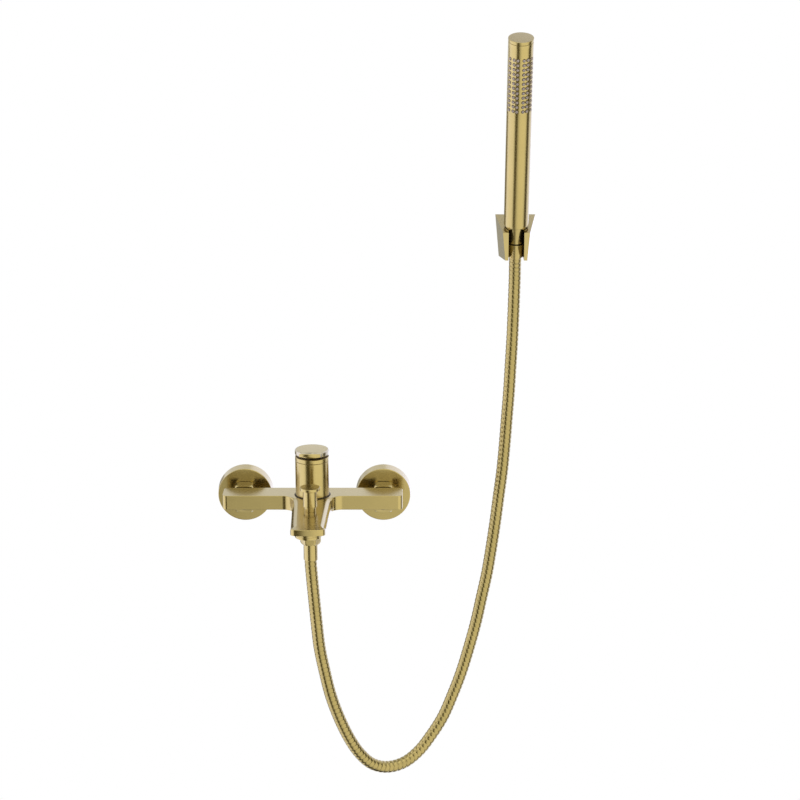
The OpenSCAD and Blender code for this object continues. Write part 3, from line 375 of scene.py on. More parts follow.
def rounded(corners, steps=4):
    """A closed outline from (x, y, radius) corners, each turned into an arc of its radius."""
    out = []
    for i, (x, y, radius) in enumerate(corners):
        point = Vector((x, y))
        if radius <= 0:
            out.append(point)
            continue
        before = (Vector(corners[i - 1][:2]) - point).normalized()
        after = (Vector(corners[(i + 1) % len(corners)][:2]) - point).normalized()
        half = before.angle(after) / 2
        centre = point + (before + after).normalized() * radius / math.sin(half)
        start = point + before * radius / math.tan(half) - centre
        turn = (math.pi - 2 * half) * (1 if before.x * after.y - before.y * after.x < 0 else -1)
        for k in range(steps + 1):
            out.append(centre + Matrix.Rotation(turn * k / steps, 2) @ start)
    return out


def bridge(bm, rings):
    """Joins each ring of vertices to the next with four sided faces."""
    for first, second in zip(rings, rings[1:]):
        for k in range(len(first)):
            m = (k + 1) % len(first)
            bm.faces.new((first[k], first[m], second[m], second[k]))


def lathe(bm, outline, place, segments=SEGMENTS, closed=True, shape=None):
    """Turns a (radius, height) outline in mm about the local Z axis. shape may cut the radius at an
    angle."""
    rings = []
    for radius, height in outline:
        if radius < 1e-6:
            rings.append([bm.verts.new(place @ Vector((0, 0, height * MM)))] * segments)
            continue
        ring = []
        for k in range(segments):
            angle = 2 * math.pi * k / segments
            r = shape(radius, angle) if shape else radius
            spot = Vector((r * math.cos(angle), r * math.sin(angle), height))
            ring.append(bm.verts.new(place @ (spot * MM)))
        rings.append(ring)
    pairs = list(zip(rings, rings[1:])) + ([(rings[-1], rings[0])] if closed else [])
    for first, second in pairs:
        for k in range(segments):
            m = (k + 1) % segments
            corners = []
            for vertex in (first[k], first[m], second[m], second[k]):
                if vertex not in corners:
                    corners.append(vertex)
            if len(corners) > 2:
                bm.faces.new(corners)


def turned(name, finish, body, node, corners, place, segments=SEGMENTS, closed=True):
    """A piece turned from rounded corners, which stands for one CAD node."""
    bm = bmesh.new()
    lathe(bm, rounded(corners), place, segments, closed)
    return finish_mesh(name, bm, finish, body, [node])


def hexagon_cut(flats, blend=0.25):
    """A shape for lathe: cuts a turned piece to a hexagon with a soft edge."""
    def cut(radius, angle):
        turn = (math.degrees(angle) + 30) % 60 - 30
        flat = flats / 2 / math.cos(math.radians(turn))
        if radius < flats / 2 - 3 * blend:
            return radius
        return -blend * math.log(math.exp(-radius / blend) + math.exp(-flat / blend))
    return cut


def hexagon_nut(name, finish, node, place, flats, height, chamfer, holes, step, segments):
    """A nut from the local z = 0 up. Its hole goes from the first radius to the second at step."""
    corner = flats / math.sqrt(3)
    soft_in, soft_up = 0.2, 0.12
    outline = [(holes[0], 0), (corner - chamfer - soft_in, 0), (corner - chamfer, soft_up)]
    outline += [(corner, z) for z in steps_between(chamfer, height - chamfer, 6)]
    outline += [(corner - chamfer, height - soft_up), (corner - chamfer - soft_in, height),
                (holes[1], height), (holes[1], step), (holes[0], step)]
    bm = bmesh.new()
    lathe(bm, outline, place @ Matrix.Rotation(math.radians(30), 4, "Z"), segments,
          shape=hexagon_cut(flats))
    finish_mesh(name, bm, finish, "root", [node])


def inward_normals(points):
    """Unit mitres into a closed outline that runs anticlockwise."""
    normals = []
    for i, point in enumerate(points):
        before = (point - points[i - 1]).normalized()
        after = (points[(i + 1) % len(points)] - point).normalized()
        mitre = (before + after).normalized()
        normals.append(Vector((-mitre.y, mitre.x)) / max(0.5, before.dot(mitre)))
    return normals


def slab(bm, outline, place, top, bottom, top_round, bottom_round, steps):
    """The walls of a plate with rounded upper and lower edges. Heights and rounds are numbers or
    functions of a point. Returns the first and the last ring of vertices."""
    def at(value, point):
        return value(point) if callable(value) else value

    upper, lower = [], []
    edge = list(zip(outline, inward_normals(outline)))
    for i in range(steps + 1):
        angle = math.radians(90 * i / steps)
        sine, cosine = 1 - math.sin(angle), 1 - math.cos(angle)
        upper.append([(p + n * at(top_round, p) * sine, at(top, p) - at(top_round, p) * cosine)
                      for p, n in edge])
        lower.append([(p + n * at(bottom_round, p) * cosine, at(bottom, p) + at(bottom_round, p) * sine)
                      for p, n in edge])
    verts = [[bm.verts.new(place @ (Vector((p.x, p.y, z)) * MM)) for p, z in ring]
             for ring in upper + lower]
    for first, second in zip(verts, verts[1:]):
        for k in range(len(first)):
            m = (k + 1) % len(first)
            bm.faces.new((first[k], second[k], second[m], first[m]))
    return verts[0], verts[-1]


def closed_slab(bm, outline, place, top, bottom, top_round, bottom_round, steps):
    for ring in slab(bm, outline, place, top, bottom, top_round, bottom_round, steps):
        bm.faces.new(ring)


# ---------------------------------------------------------------- hose

HOSE_RADIUS = 6.5
# The middle of the hose from the mixer to the hand shower: x, distance from the wall, and z.
HOSE_ROUTE = [
    (0, 110, -40), (0, 110, -46), (0.6, 110, -54), (1.6, 109.5, -68), (2.8, 109, -83),
    (5.2, 108, -112), (8, 106.5, -141), (13, 104, -169.5), (19, 101.5, -197.5),
    (27.5, 97.5, -225), (38, 93, -251), (49.5, 87.5, -272), (63, 81.5, -287),
    (79.5, 74, -294), (97.5, 66, -292.2), (113.5, 58.5, -282), (127, 52.5, -266),
    (140, 46.5, -246.5), (150.5, 41.5, -223), (160, 37.5, -198), (168.5, 33.5, -170),
    (176, 30, -142), (182, 27.5, -114), (188, 25, -85.5), (192.5, 23, -57),
    (196.5, 21, -28.5), (200, 19.5, 0.5), (203.5, 18, 29), (206, 16.5, 58),
    (208, 15.5, 87), (210, 14.5, 115.5), (211.5, 13, 144.5), (213, 11.5, 173.5),
    (214, 9.5, 200.5), (214.7, 8.2, 226), (215, 8.6, 241), (215, 10.3, 251.6),
    (215, 13.9, 263)
]
COIL_PITCH = 5.1
COIL_SAMPLES = 10
COIL_SIDES = 28
COIL_CROWN = 0.07
COIL_GROOVE = 0.5
COIL_GROOVE_WIDTH = 0.085


def smooth_path(points, per_span=24):
    """A Catmull-Rom curve through the points."""
    out = []
    ends = [2 * points[0] - points[1], *points, 2 * points[-1] - points[-2]]
    for a, b, c, d in zip(ends, ends[1:], ends[2:], ends[3:]):
        for i in range(per_span):
            t = i / per_span
            out.append(0.5 * (2 * b + (c - a) * t + (2 * a - 5 * b + 4 * c - d) * t * t
                              + (3 * b - a - 3 * c + d) * t ** 3))
    return out + [points[-1]]


def resampled(path, step):
    """Points at even steps along a path."""
    out, left = [path[0]], step
    for start, end in zip(path, path[1:]):
        span, done = (end - start).length, 0.0
        while span - done >= left:
            done += left
            out.append(start.lerp(end, done / span))
            left = step
        left -= span - done
    return out


def coil_radius(phase):
    """Radius over one turn of the strip: a crown, and a narrow groove where the turns lock."""
    phase %= 1.0
    groove = math.exp(-((phase - 0.5) / COIL_GROOVE_WIDTH) ** 2)
    crown = COIL_CROWN * math.cos(2 * math.pi * phase)
    return HOSE_RADIUS - COIL_CROWN + crown - COIL_GROOVE * groove


def make_hose():
    """A tube along the route, with the strip's turns as a screw line round it."""
    route = [Vector((x, -out, z)) * MM for x, out, z in HOSE_ROUTE]
    path = resampled(smooth_path(route), COIL_PITCH * MM / COIL_SAMPLES)
    bm = bmesh.new()
    rings = []
    side = Vector((1, 0, 0))
    for i, point in enumerate(path):
        along = (path[min(i + 1, len(path) - 1)] - path[max(i - 1, 0)]).normalized()
        side = (side - along * side.dot(along)).normalized()
        other = along.cross(side)
        ring = []
        for k in range(COIL_SIDES):
            turn = k / COIL_SIDES
            radius = coil_radius(i / COIL_SAMPLES + turn) * MM
            angle = 2 * math.pi * turn
            spoke = math.cos(angle) * side + math.sin(angle) * other
            ring.append(bm.verts.new(point + radius * spoke))
        rings.append(ring)
    bridge(bm, rings)
    bm.faces.new(rings[0])
    bm.faces.new(rings[-1])
    hose = finish_mesh("hose_coils", bm, "hose", None, ["hose"], weighted=False)
    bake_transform(hose)


# ---------------------------------------------------------------- wall inlets

UNION_BORE = 13.25
UNION_MOUTH = 9.95
UNION_MOUTH_DEPTH = 1.8


def make_flange(side):
    node = "wall_flange_" + side
    radius, depth = high(node).z, -low(node).y
    front, wall = radius - 0.9, 2.0
    turned(f"flange_{side}_shell", "gold_wall", "root", node, [
        (UNION_BORE, depth, 0.2), (front, depth, 0.8), (radius, 0, 0.2), (front - wall, 0, 0.2),
        (front - wall, depth - wall, 1.0), (UNION_BORE, depth - wall, 0.2),
    ], outward(middle(node).x, 0, 0), SEGMENTS_WIDE)


def make_union_nut(side):
    node = "union_nut_" + side
    start = -high(node).y
    height = -low(node).y - start
    hexagon_nut(f"union_nut_{side}_shell", "gold_wall", node, outward(middle(node).x, start, 0),
                flats=2 * high(node).z, height=height, chamfer=1.5, holes=(UNION_BORE, UNION_MOUTH),
                step=height - UNION_MOUTH_DEPTH, segments=180)


# ---------------------------------------------------------------- bar, spout and tower

def make_mixer_body():
    """The casting: bar and spout as one plate, with its bosses, turret and inlet tails."""
    half, lip, corner = high("mixer_body").x, -low("mixer_body").y, 5.0
    bar_back, bar_depth, bar_top = 31.5, 28.8, low("tower_sleeve").z
    bar_front, bar_bottom = bar_back + bar_depth, bar_top - 15.5
    root_w, tip_w, fillet, bulge, lip_corner, lip_height = 21.1, 18.0, 11.5, 2.0, 6.0, 6.7

    def width(out):
        return root_w + (tip_w - root_w) * (out - bar_front) / (lip - bar_front)

    side_w = width(bar_front + fillet)
    bulge_r = (tip_w ** 2 + bulge ** 2) / (2 * bulge)
    bulge_y = bulge_r - lip
    corner_x = tip_w - lip_corner
    reach = math.sqrt((bulge_r - lip_corner) ** 2 - corner_x ** 2)
    corner_a = math.degrees(math.atan2(reach, corner_x))
    right = arc((half - corner, corner - bar_front), corner, 0, -90, 12)
    right += arc((side_w + fillet, -bar_front - fillet), fillet, 90, 180, 16)
    side_start, side_end = right[-1], Vector((tip_w, bulge_y - reach))
    right += [side_start.lerp(side_end, i / 12) for i in range(1, 12)]
    right += arc((corner_x, bulge_y - reach), lip_corner, 0, -corner_a, 8)
    right += arc((0, bulge_y), bulge_r, -corner_a, -90, 8)[1:]
    back = arc((-half + corner, -bar_back - corner), corner, 180, 90, 12)
    outline = right + mirrored(right[:-1]) + back + mirrored(back)
    outline.reverse()

    # The upper edge's round grows from the bar's to the spout's, and fades again before the lip.
    bar_round, spout_round, grow_from, grow_over, fade_from, fade_over = 0.6, 5.8, 2, 14, 9, 7

    def top_round(p):
        along = clamp((-p.y - bar_front - grow_from) / grow_over)
        to_lip = clamp((-p.y - lip + fade_from) / fade_over)
        return bar_round + spout_round * along * along * (3 - 2 * along) * (1 - to_lip) ** 2

    def bottom(p):
        slope = (bar_top - lip_height - bar_bottom) / (lip - bar_front)
        return bar_bottom + max(0, -p.y - bar_front) * slope

    bm = bmesh.new()
    upper, lower = slab(bm, outline, Matrix.Identity(4), bar_top, bottom, top_round, 0.5, 8)
    bm.faces.new(upper)
    front = [v for v in lower if v.co.y < -bar_front * MM + 1e-5]
    back = [v for v in lower if v.co.y >= -bar_front * MM - 1e-5]
    bm.faces.new(front)
    bm.faces.new(back)

    sunk = bar_top - 2
    boss_z, boss_r, thread_z, thread_r, bore = bar_top - 20, 10.4, low("mixer_body").z, 7.9, 5.8
    lathe(bm, rounded([
        (bore, thread_z, 0.2), (thread_r, thread_z, 0.5), (thread_r, boss_z, 0),
        (boss_r, boss_z, 0.6), (boss_r, sunk, 0), (bore, sunk, 0),
    ]), upright(0, middle("diverter_knob").y))
    seat_z, seat_r, seat_bore = bar_top - 9.3, high("aerator_housing").x, 11.9
    lathe(bm, rounded([
        (seat_bore, seat_z, 0.2), (seat_r, seat_z, 0.3), (seat_r, sunk, 0), (seat_bore, sunk, 0),
    ]), upright(0, middle("aerator_housing").y))
    turret_start, turret_end = bar_top - 0.5, high("tower_sleeve").z - 3
    turret_r, turret_bore = 15.4, 12.6
    lathe(bm, rounded([
        (turret_bore, turret_start, 0), (turret_r, turret_start, 0),
        (turret_r, turret_end, 0.3), (turret_bore, turret_end, 0.2),
    ]), upright(0, middle("tower_sleeve").y))
    tail_start, collar_end, tail_end, seat = 26.5, 28.2, 41, 36
    for node in ("union_nut_left", "union_nut_right"):
        lathe(bm, rounded([
            (7.5, tail_start, 0.2), (11.8, tail_start, 0.3), (11.8, collar_end, 0.3), (9.8, collar_end, 0),
            (9.8, 38, 0.5), (6.8, tail_end, 0.3), (6.8, seat, 0), (7.5, seat, 0),
        ]), outward(middle(node).x, 0, 0))
    finish_mesh("mixer_casting", bm, "gold_bar", "root", ["mixer_body"])


def make_tower():
    """The sleeve, a dark ring round its foot as painted shadow, and the ring on top, with painted shade on
    its top face and in the joint line under it.
    """
    place = upright(0, middle("tower_sleeve").y)
    start, end, radius = low("tower_sleeve").z, high("tower_sleeve").z, high("tower_sleeve").x
    inner = radius - 1.2
    turned("tower_sleeve_shell", "gold_tower", "root", "tower_sleeve", [
        (inner, start, 0), (radius, start, 0.35), (radius, end, 0.35), (inner, end, 0),
    ], place, SEGMENTS_WIDE)
    # A thin dark ring at the sleeve's foot, standing in as painted shadow where the sleeve meets the
    # casting.
    foot_in, foot_out = radius - 0.2, radius + 1.3
    bm = bmesh.new()
    lathe(bm, [(foot_in, start - 0.3), (foot_out, start - 0.3), (foot_out, start + 0.2),
               (radius + 0.1, start + 1.1), (foot_in, start + 1.1)], place, SEGMENTS_WIDE)
    finish_mesh("tower_foot_painted_shadow", bm, "shadow", "root", [])

    top, hole, line = high("sleeve_ring").z, 13.2, 0.4
    spigot_r, spigot_z = radius - 1.3, end - 8
    ring = turned("sleeve_ring_shell", "gold_tower", "root", "sleeve_ring", [
        (hole, spigot_z, 0), (spigot_r, spigot_z, 0), (spigot_r, end, 0), (radius - line, end, 0),
        (radius - line, end + line, 0), (radius, end + line, 0.2), (radius, top, 0.55), (hole, top, 0.3),
    ], place, SEGMENTS_WIDE)

    # Painted shade on the ring's top face under the cap and in the joint line.
    def in_gap(centre):
        in_line = abs(centre.z - (end + line / 2) * MM) < line / 2 * MM
        return centre.z > (top - 0.05) * MM or in_line

    refinish(ring, "gap", in_gap)


def make_handle():
    """The cap, the sloping lever plate and the level piece between them, as one casting, with a painted
    highlight on the cap's rim band.
    """
    y, radius = middle("tower_sleeve").y, high("handle").x
    base, top = high("sleeve_ring").z + 2.4, high("sleeve_ring").z + 7.6
    rim, skin, hub, hub_bottom, socket = 2.0, 2.2, 6.0, low("handle").z, 3.1
    ceiling = top - skin
    bm = bmesh.new()
    lathe(bm, rounded([
        (0, top, 0), (radius, top, 1.5), (radius, base, 0.9), (radius - rim, base, 0.2),
        (radius - rim, ceiling, 0.6), (hub, ceiling, 0.6), (hub, hub_bottom, 0.4),
        (socket, hub_bottom, 0.2), (socket, ceiling, 0), (0, ceiling, 0),
    ]), upright(0, y), SEGMENTS_WIDE, closed=False)

    width, thick, end_r, end_corner, tuck = 22.5, 3.3, 20.0, 0.8, 1.5
    rise, reach, steps = math.radians(17.0), -y + radius, 14
    length = (-low("handle").y - reach - thick * math.sin(rise)) / math.cos(rise)
    fan = math.degrees(math.asin(width / 2 / end_r))
    end = arc((0, length - end_r), end_r, 90 - fan, 90 + fan, steps)
    outline = rounded([(p.x, -p.y, end_corner if i in (0, steps) else 0) for i, p in enumerate(end)]
                      + [(-width / 2, tuck, 0.2), (width / 2, tuck, 0.2)], 5)
    outline.reverse()
    hinge = upright(0, -reach, top)
    closed_slab(bm, outline, hinge @ Matrix.Rotation(-rise, 4, "X"), 0, -thick, 0.55, 0.45, 4)
    front, back, level_thick = -1, 4.6, 3.4
    outline = [Vector(p) for p in ((width / 2, back), (-width / 2, back),
                                   (-width / 2, front), (width / 2, front))]
    closed_slab(bm, outline, hinge, 0, -level_thick, 0.5, 0.3, 4)
    handle = finish_mesh("handle_shell", bm, "gold_tower", "handle_lever", ["handle"])

    # A painted highlight on the band round the cap's outer edge, beside the lever.
    def in_rim_highlight(centre):
        spot = centre / MM - Vector((0, y, base))
        in_band = radius - 2.7 < spot.xy.length < radius + 0.05 and spot.z > 0.3
        return in_band and (abs(spot.x) > width / 2 or spot.y > 0)

    refinish(handle, "rim_highlight", in_rim_highlight)


def make_knob():
    """The pull knob, with painted shadow in the groove under its disc, and the gland that guides it."""
    place = upright(0, middle("diverter_knob").y)
    bottom, top = low("diverter_knob").z, high("diverter_knob").z
    disc_r, disc_t, neck_r, socket_r, socket_h = high("diverter_knob").x, 3.0, 7.45, 6.1, 9
    under, groove_r, groove_h = top - disc_t, neck_r - 0.6, 1
    knob = turned("diverter_knob_shell", "gold_tower", "diverter", "diverter_knob", [
        (0, top, 0), (disc_r, top, 0.5), (disc_r, under, 0.35), (groove_r, under, 0),
        (groove_r, under - groove_h, 0), (neck_r, under - groove_h, 0.2), (neck_r, bottom, 0.4),
        (socket_r, bottom, 0.2), (socket_r, bottom + socket_h, 0.3), (0, bottom + socket_h, 0),
    ], place, closed=False)
    # Painted shadow in the groove under the disc.
    refinish(knob, "shadow", lambda centre: -groove_h - 0.05 < centre.z / MM - top + disc_t < 0.05)
    start, end = low("tower_sleeve").z, high("diverter_gland").z
    foot_z, foot_r, radius, rod_r = start - 2.5, 5.5, 6.0, 2.1
    turned("diverter_gland_shell", "gold_tower", "root", "diverter_gland", [
        (rod_r, foot_z, 0), (foot_r, foot_z, 0.2), (foot_r, start, 0), (radius, start, 0.15),
        (radius, end, 0.5), (rod_r, end, 0.2),
    ], place)


def make_aerator():
    """The aerator's housing, screwed into the underside of the spout."""
    radius, bottom, top = high("aerator_housing").x, low("aerator_housing").z, high("aerator_housing").z
    bore, lip, thread_r, shoulder, floor = 10.2, 9.2, 11.9, bottom + 2.9, bottom + 1
    turned("aerator_housing_shell", "gold_tower", "root", "aerator_housing", [
        (lip, bottom, 0.25), (radius, bottom, 0.45), (radius, shoulder, 0.2), (thread_r, shoulder, 0),
        (thread_r, top, 0.2), (bore, top, 0.2), (bore, floor, 0), (lip, floor, 0),
    ], upright(0, middle("aerator_housing").y))


# ---------------------------------------------------------------- hose ends

HOSE_TAIL_BORE = 4.85
HOSE_THREAD_R = 7.95


def make_ferrule(side, place, radius, height, body):
    turned(f"ferrule_{side}_shell", "gold_tower", body, "ferrule_" + side, [
        (HOSE_TAIL_BORE, 0, 0.2), (radius, 0, 0.5), (radius, height, 0.4), (HOSE_TAIL_BORE, height, 0.2),
    ], place, 64)


def make_hose_nut():
    """The hexagonal nut on the mixer, and the ferrule crimped on the hose under it."""
    y, start = middle("hose_nut").y, low("hose_nut").z
    hexagon_nut("hose_nut_shell", "gold_tower", "hose_nut", upright(0, y, start), flats=19.0,
                height=high("hose_nut").z - start, chamfer=1.2, holes=(HOSE_TAIL_BORE, HOSE_THREAD_R),
                step=2, segments=144)
    start = low("ferrule_lower").z
    make_ferrule("lower", upright(0, y, start), 7.45, high("ferrule_lower").z - start, "root")


# ---------------------------------------------------------------- hand shower

# Heights are along the hand shower's own axis. Angles round it are 0 on the side of the user.
TUBE_R = 13.0
TUBE_START = 3.0
TUBE_END = 210.4
TUBE_BOTTOM_HOLE_R = 8.0
TUBE_BOTTOM_HOLE_DEPTH = 3.4
TUBE_TOP_HOLE_R = 11.6
FIRST_ROW = 138.3
ROW_PITCH = 5.1
ROWS = 12
NOZZLE_ANGLES = (-56, -32, -14, 14, 32, 56)
CELL_EDGES = ((-67, -44.5), (-44.5, -23), (-23, -5), (5, 23), (23, 44.5), (44.5, 67))
CELL_SPLITS = 4
# A nozzle's hole: its radius, and the depth under the tube's surface.
HOLE_RINGS = ((2.0, 0), (1.85, 0.15), (1.8, 0.5), (1.8, 1.4))


def on_tube(angle, s, radius=TUBE_R):
    """A point of the tube, or of another cylinder round the same axis."""
    a = math.radians(angle)
    return SHOWER @ (Vector((radius * math.sin(a), -radius * math.cos(a), s)) * MM)


def cell_border(left, right, bottom, top):
    """Sixteen points round a cell, from its lower left corner, anticlockwise seen from outside."""
    xs, ys = steps_between(left, right, CELL_SPLITS), steps_between(bottom, top, CELL_SPLITS)
    return ([(x, bottom) for x in xs[:-1]] + [(right, y) for y in ys[:-1]]
            + [(x, top) for x in reversed(xs[1:])] + [(left, y) for y in reversed(ys[1:])])


def make_tube():
    """The tube, with a round hole in the middle of each nozzle's cell."""
    bm = bmesh.new()
    grid = {}

    def vertex(angle, s, radius=TUBE_R):
        key = (round(angle % 360, 3), round(s, 3), round(radius, 3))
        if key not in grid:
            grid[key] = bm.verts.new(on_tube(angle, s, radius))
        return grid[key]

    columns = []
    for left, right in CELL_EDGES:
        columns += steps_between(left, right, CELL_SPLITS)
    columns += [0, *steps_between(CELL_EDGES[-1][1], 360 + CELL_EDGES[0][0], 48)[1:-1]]
    columns = sorted({round(c % 360, 3) for c in columns})
    field_start, field_end = FIRST_ROW - ROW_PITCH / 2, FIRST_ROW + (ROWS - 0.5) * ROW_PITCH
    rows = steps_between(field_start, field_end, ROWS * CELL_SPLITS)
    holes = [(left % 360, right % 360 or 360) for left, right in CELL_EDGES]

    def in_cell(a):
        return any(left - 1e-3 <= a < right - 1e-3 for left, right in holes)

    levels = [TUBE_START + 0.5, TUBE_START + 3, 40, 80, 118, *rows, 201, 206, TUBE_END - 0.3]
    pairs = list(zip(columns, columns[1:] + [columns[0] + 360]))
    for low_s, high_s in zip(levels, levels[1:]):
        cells = low_s >= rows[0] - 1e-6 and high_s <= rows[-1] + 1e-6
        for a, b in pairs:
            if not (cells and in_cell(a)):
                bm.faces.new((vertex(a, low_s), vertex(b, low_s), vertex(b, high_s), vertex(a, high_s)))
    for (left, right), angle in zip(CELL_EDGES, NOZZLE_ANGLES):
        for row in range(ROWS):
            s = FIRST_ROW + row * ROW_PITCH
            border = cell_border(left, right, s - ROW_PITCH / 2, s + ROW_PITCH / 2)
            rings = [[vertex(a, z) for a, z in border]]
            for hole_r, depth in HOLE_RINGS:
                ring = []
                for k in range(len(border)):
                    turn = math.radians(-135 + 360 * k / len(border))
                    aside = math.degrees(hole_r * math.cos(turn) / TUBE_R)
                    spot = on_tube(angle + aside, s + hole_r * math.sin(turn), TUBE_R - depth)
                    ring.append(bm.verts.new(spot))
                rings.append(ring)
            bridge(bm, rings)

    bottom = ((TUBE_START + 0.5, TUBE_R), (TUBE_START + 0.15, TUBE_R - 0.15), (TUBE_START, TUBE_R - 0.5),
              (TUBE_START, TUBE_BOTTOM_HOLE_R), (TUBE_START + TUBE_BOTTOM_HOLE_DEPTH, TUBE_BOTTOM_HOLE_R))
    top = ((TUBE_END - 0.3, TUBE_R), (TUBE_END, TUBE_R - 0.3), (TUBE_END, TUBE_TOP_HOLE_R))
    for end in (bottom, top):
        bridge(bm, [[vertex(a, s, radius) for a in columns] for s, radius in end])
    finish_mesh("handset_tube_shell", bm, "gold_shower", "hand_shower", ["handset_tube"])


def make_nozzles():
    """Soft tips with a small jet hole, one in each hole of the tube."""
    tip, root, jet_r, jet_depth = 1.1, -1.6, 0.4, 1.1
    outline = rounded([
        (0, tip - jet_depth, 0), (jet_r, tip - jet_depth, 0), (jet_r, tip, 0.12), (1.15, tip, 0.3),
        (1.35, -0.2, 0), (1.45, root, 0), (0, root, 0),
    ], 3)
    bm = bmesh.new()
    for angle in NOZZLE_ANGLES:
        for row in range(ROWS):
            place = (SHOWER @ Matrix.Rotation(math.radians(angle), 4, "Z")
                     @ upright(0, -TUBE_R, FIRST_ROW + row * ROW_PITCH)
                     @ Matrix.Rotation(math.radians(90), 4, "X"))
            lathe(bm, outline, place, 16, closed=False)
    finish_mesh("spray_nozzles", bm, "silicone", "hand_shower", ["nozzle_mat"])


def make_handset_ends():
    """The cap on the tube's top, the cone nut that sits in the holder, and the hose's upper ferrule."""
    start, end, plug_r, plug_h = 210.7, 213.97, 11.45, 6.5
    turned("handset_cap_shell", "gold_shower", "hand_shower", "handset_cap", [
        (0, end, 0), (TUBE_R, end, 0.45), (TUBE_R, start, 0.2), (plug_r, start, 0),
        (plug_r, start - plug_h, 0.3), (0, start - plug_h, 0),
    ], SHOWER, closed=False)
    bottom, top, low_r, high_r, bore = -35.0, 2.6, 8.2, 11.5, 7.2
    groove, groove_h, groove_d = -17.9, 1.6, 1.0
    groove_top = groove + groove_h

    def cone(s):
        return low_r + (high_r - low_r) * (s - bottom) / (top - bottom)

    groove_r = cone(groove) - groove_d
    nut = turned("cone_nut_shell", "gold_shower", "hand_shower", "cone_nut", [
        (bore, bottom, 0.2), (low_r, bottom, 0.4), (cone(groove), groove, 0.2), (groove_r, groove, 0.1),
        (groove_r, groove_top, 0.1), (cone(groove_top), groove_top, 0.2), (high_r, top, 0.4),
        (HOSE_THREAD_R, top, 0.2),
    ], SHOWER)
    inverse = SHOWER.inverted()
    # Painted shadow in the cone nut's groove.
    refinish(nut, "shadow",
             lambda centre: groove - 0.05 < (inverse @ centre / MM).z < groove_top + 0.05)
    make_ferrule("upper", SHOWER @ upright(0, 0, -37), 6.9, 18.1, "hose_end")


# ---------------------------------------------------------------- carried-over CAD nodes

CAD_FINISH = {
    "holder_bracket": "holder", "s_union_left": "brass", "s_union_right": "brass",
    "inlet_strainers": "rubber", "inlet_check_valves": "plastic", "cartridge_base": "plastic",
    "cartridge_seals": "rubber", "fixed_disc": "ceramic", "moving_disc": "ceramic",
    "disc_carrier": "plastic", "cartridge_housing": "plastic", "stem_guide": "plastic",
    "stem_pin": "steel", "cartridge_stem": "steel", "cartridge_nut": "brass",
    "handle_grub_screw": "steel", "gland_seal": "rubber", "diverter_rod": "steel",
    "diverter_piston": "brass", "piston_seal": "rubber", "diverter_spring": "steel",
    "aerator_insert": "plastic", "aerator_washer": "rubber", "hose_check_valve": "plastic",
    "hose_washer": "rubber", "hose_tail_lower": "brass", "hose_tail_upper": "brass",
    "handset_washer": "rubber", "handset_inlet": "brass", "flow_limiter": "plastic",
    "handset_inner_tube": "plastic", "spray_carrier": "plastic", "cap_seal": "rubber",
    "holder_wall_plate": "steel", "holder_screws": "steel", "wall_plugs": "plastic",
    "holder_grub_screw": "steel",
}
HOLDER_EDGE = 0.35
HOLDER_EDGE_ANGLE = 40


def finish_cad_nodes():
    """Finishes for the CAD nodes that stay as they are, and soft edges for the holder."""
    for node, finish in CAD_FINISH.items():
        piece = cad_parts[node]
        piece.data.materials.clear()
        piece.data.materials.append(FINISH[finish])
    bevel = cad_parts["holder_bracket"].modifiers.new("soft_edges", "BEVEL")
    bevel.width = HOLDER_EDGE * MM
    bevel.segments = 3
    bevel.limit_method = "ANGLE"
    bevel.angle_limit = math.radians(HOLDER_EDGE_ANGLE)


# ---------------------------------------------------------------- studio

CARD_DISTANCE = 2.6
CARD_INNER = 1.1
CARD_LOW_ANGLE = -45
CARD_FLOOR_Z = -2.7
CARD_SPLITS = 24
FLOOR_Z = -2.75
FLOOR_RADIUS = 12
FLOOR_TONE = (0.85, 0.85, 0.85, 1)
WORLD_FILL = 0.6
WHITE = (1, 1, 1)
COOL = (1.0, 1.0, 1.2)
COLD = (1.0, 1.02, 1.25)
WARM = (1.0, 0.98, 0.95)
PALE = (1, 0.98, 0.85)
DARK = (1.0, 0.8, 0.3)
SOFT = 0.25
# Only the cards above this strength light dull surfaces. The others just show in reflections.
LAMP_STRENGTH = 0.5

# Curved cards round the object: start and end azimuth, 0 being the user's side, in degrees, then
# strength, colour, the share of the width over which each end fades, and the elevation of the upper
# edge. A card without an elevation lies flat above the floor instead.
CARDS = (
    ("softbox_left", -128, -42, 1.7, COOL, SOFT, 50),
    ("softbox_right", 2, 80, 1.5, WARM, SOFT, 50),
    ("softbox_far_right", 104, 176, 1.35, COLD, 0.15, 50),
    ("flag_front", -42, -9, 0.1, DARK, SOFT, 25),
    ("flag_right", 78, 106, 0.08, DARK, SOFT, 25),
    ("flag_left", -160, -127, 0.22, DARK, SOFT, -3),
    ("shade_left", -176, -158, 0.42, PALE, SOFT, 8),
    ("floor_left", -128, -42, 1.7, COOL, SOFT, None),
    ("floor_right", -2, 82, 1.35, WARM, SOFT, None),
    ("floor_far_right", 100, 176, 1.3, COLD, 0.15, None),
    ("floor_flag_front", -58, 6, 0.12, DARK, 0.5, None),
    ("floor_flag_right", 74, 104, 0.08, DARK, 0.4, None),
)
# Round cards: height, radius, strength, and the distance behind the wall's plane.
DISCS = (
    ("overhead", 2.9, 1.7, 1.8, -0.9),
    ("sky_behind", 2.9, 1.6, 0.6, 2.3),
    ("under", -2.68, 1.05, 0.08, 0.0),
)


def empty_tree(owner):
    """The node tree of a material or a world, with nothing in it."""
    owner.use_nodes = True
    owner.node_tree.nodes.clear()
    return owner.node_tree


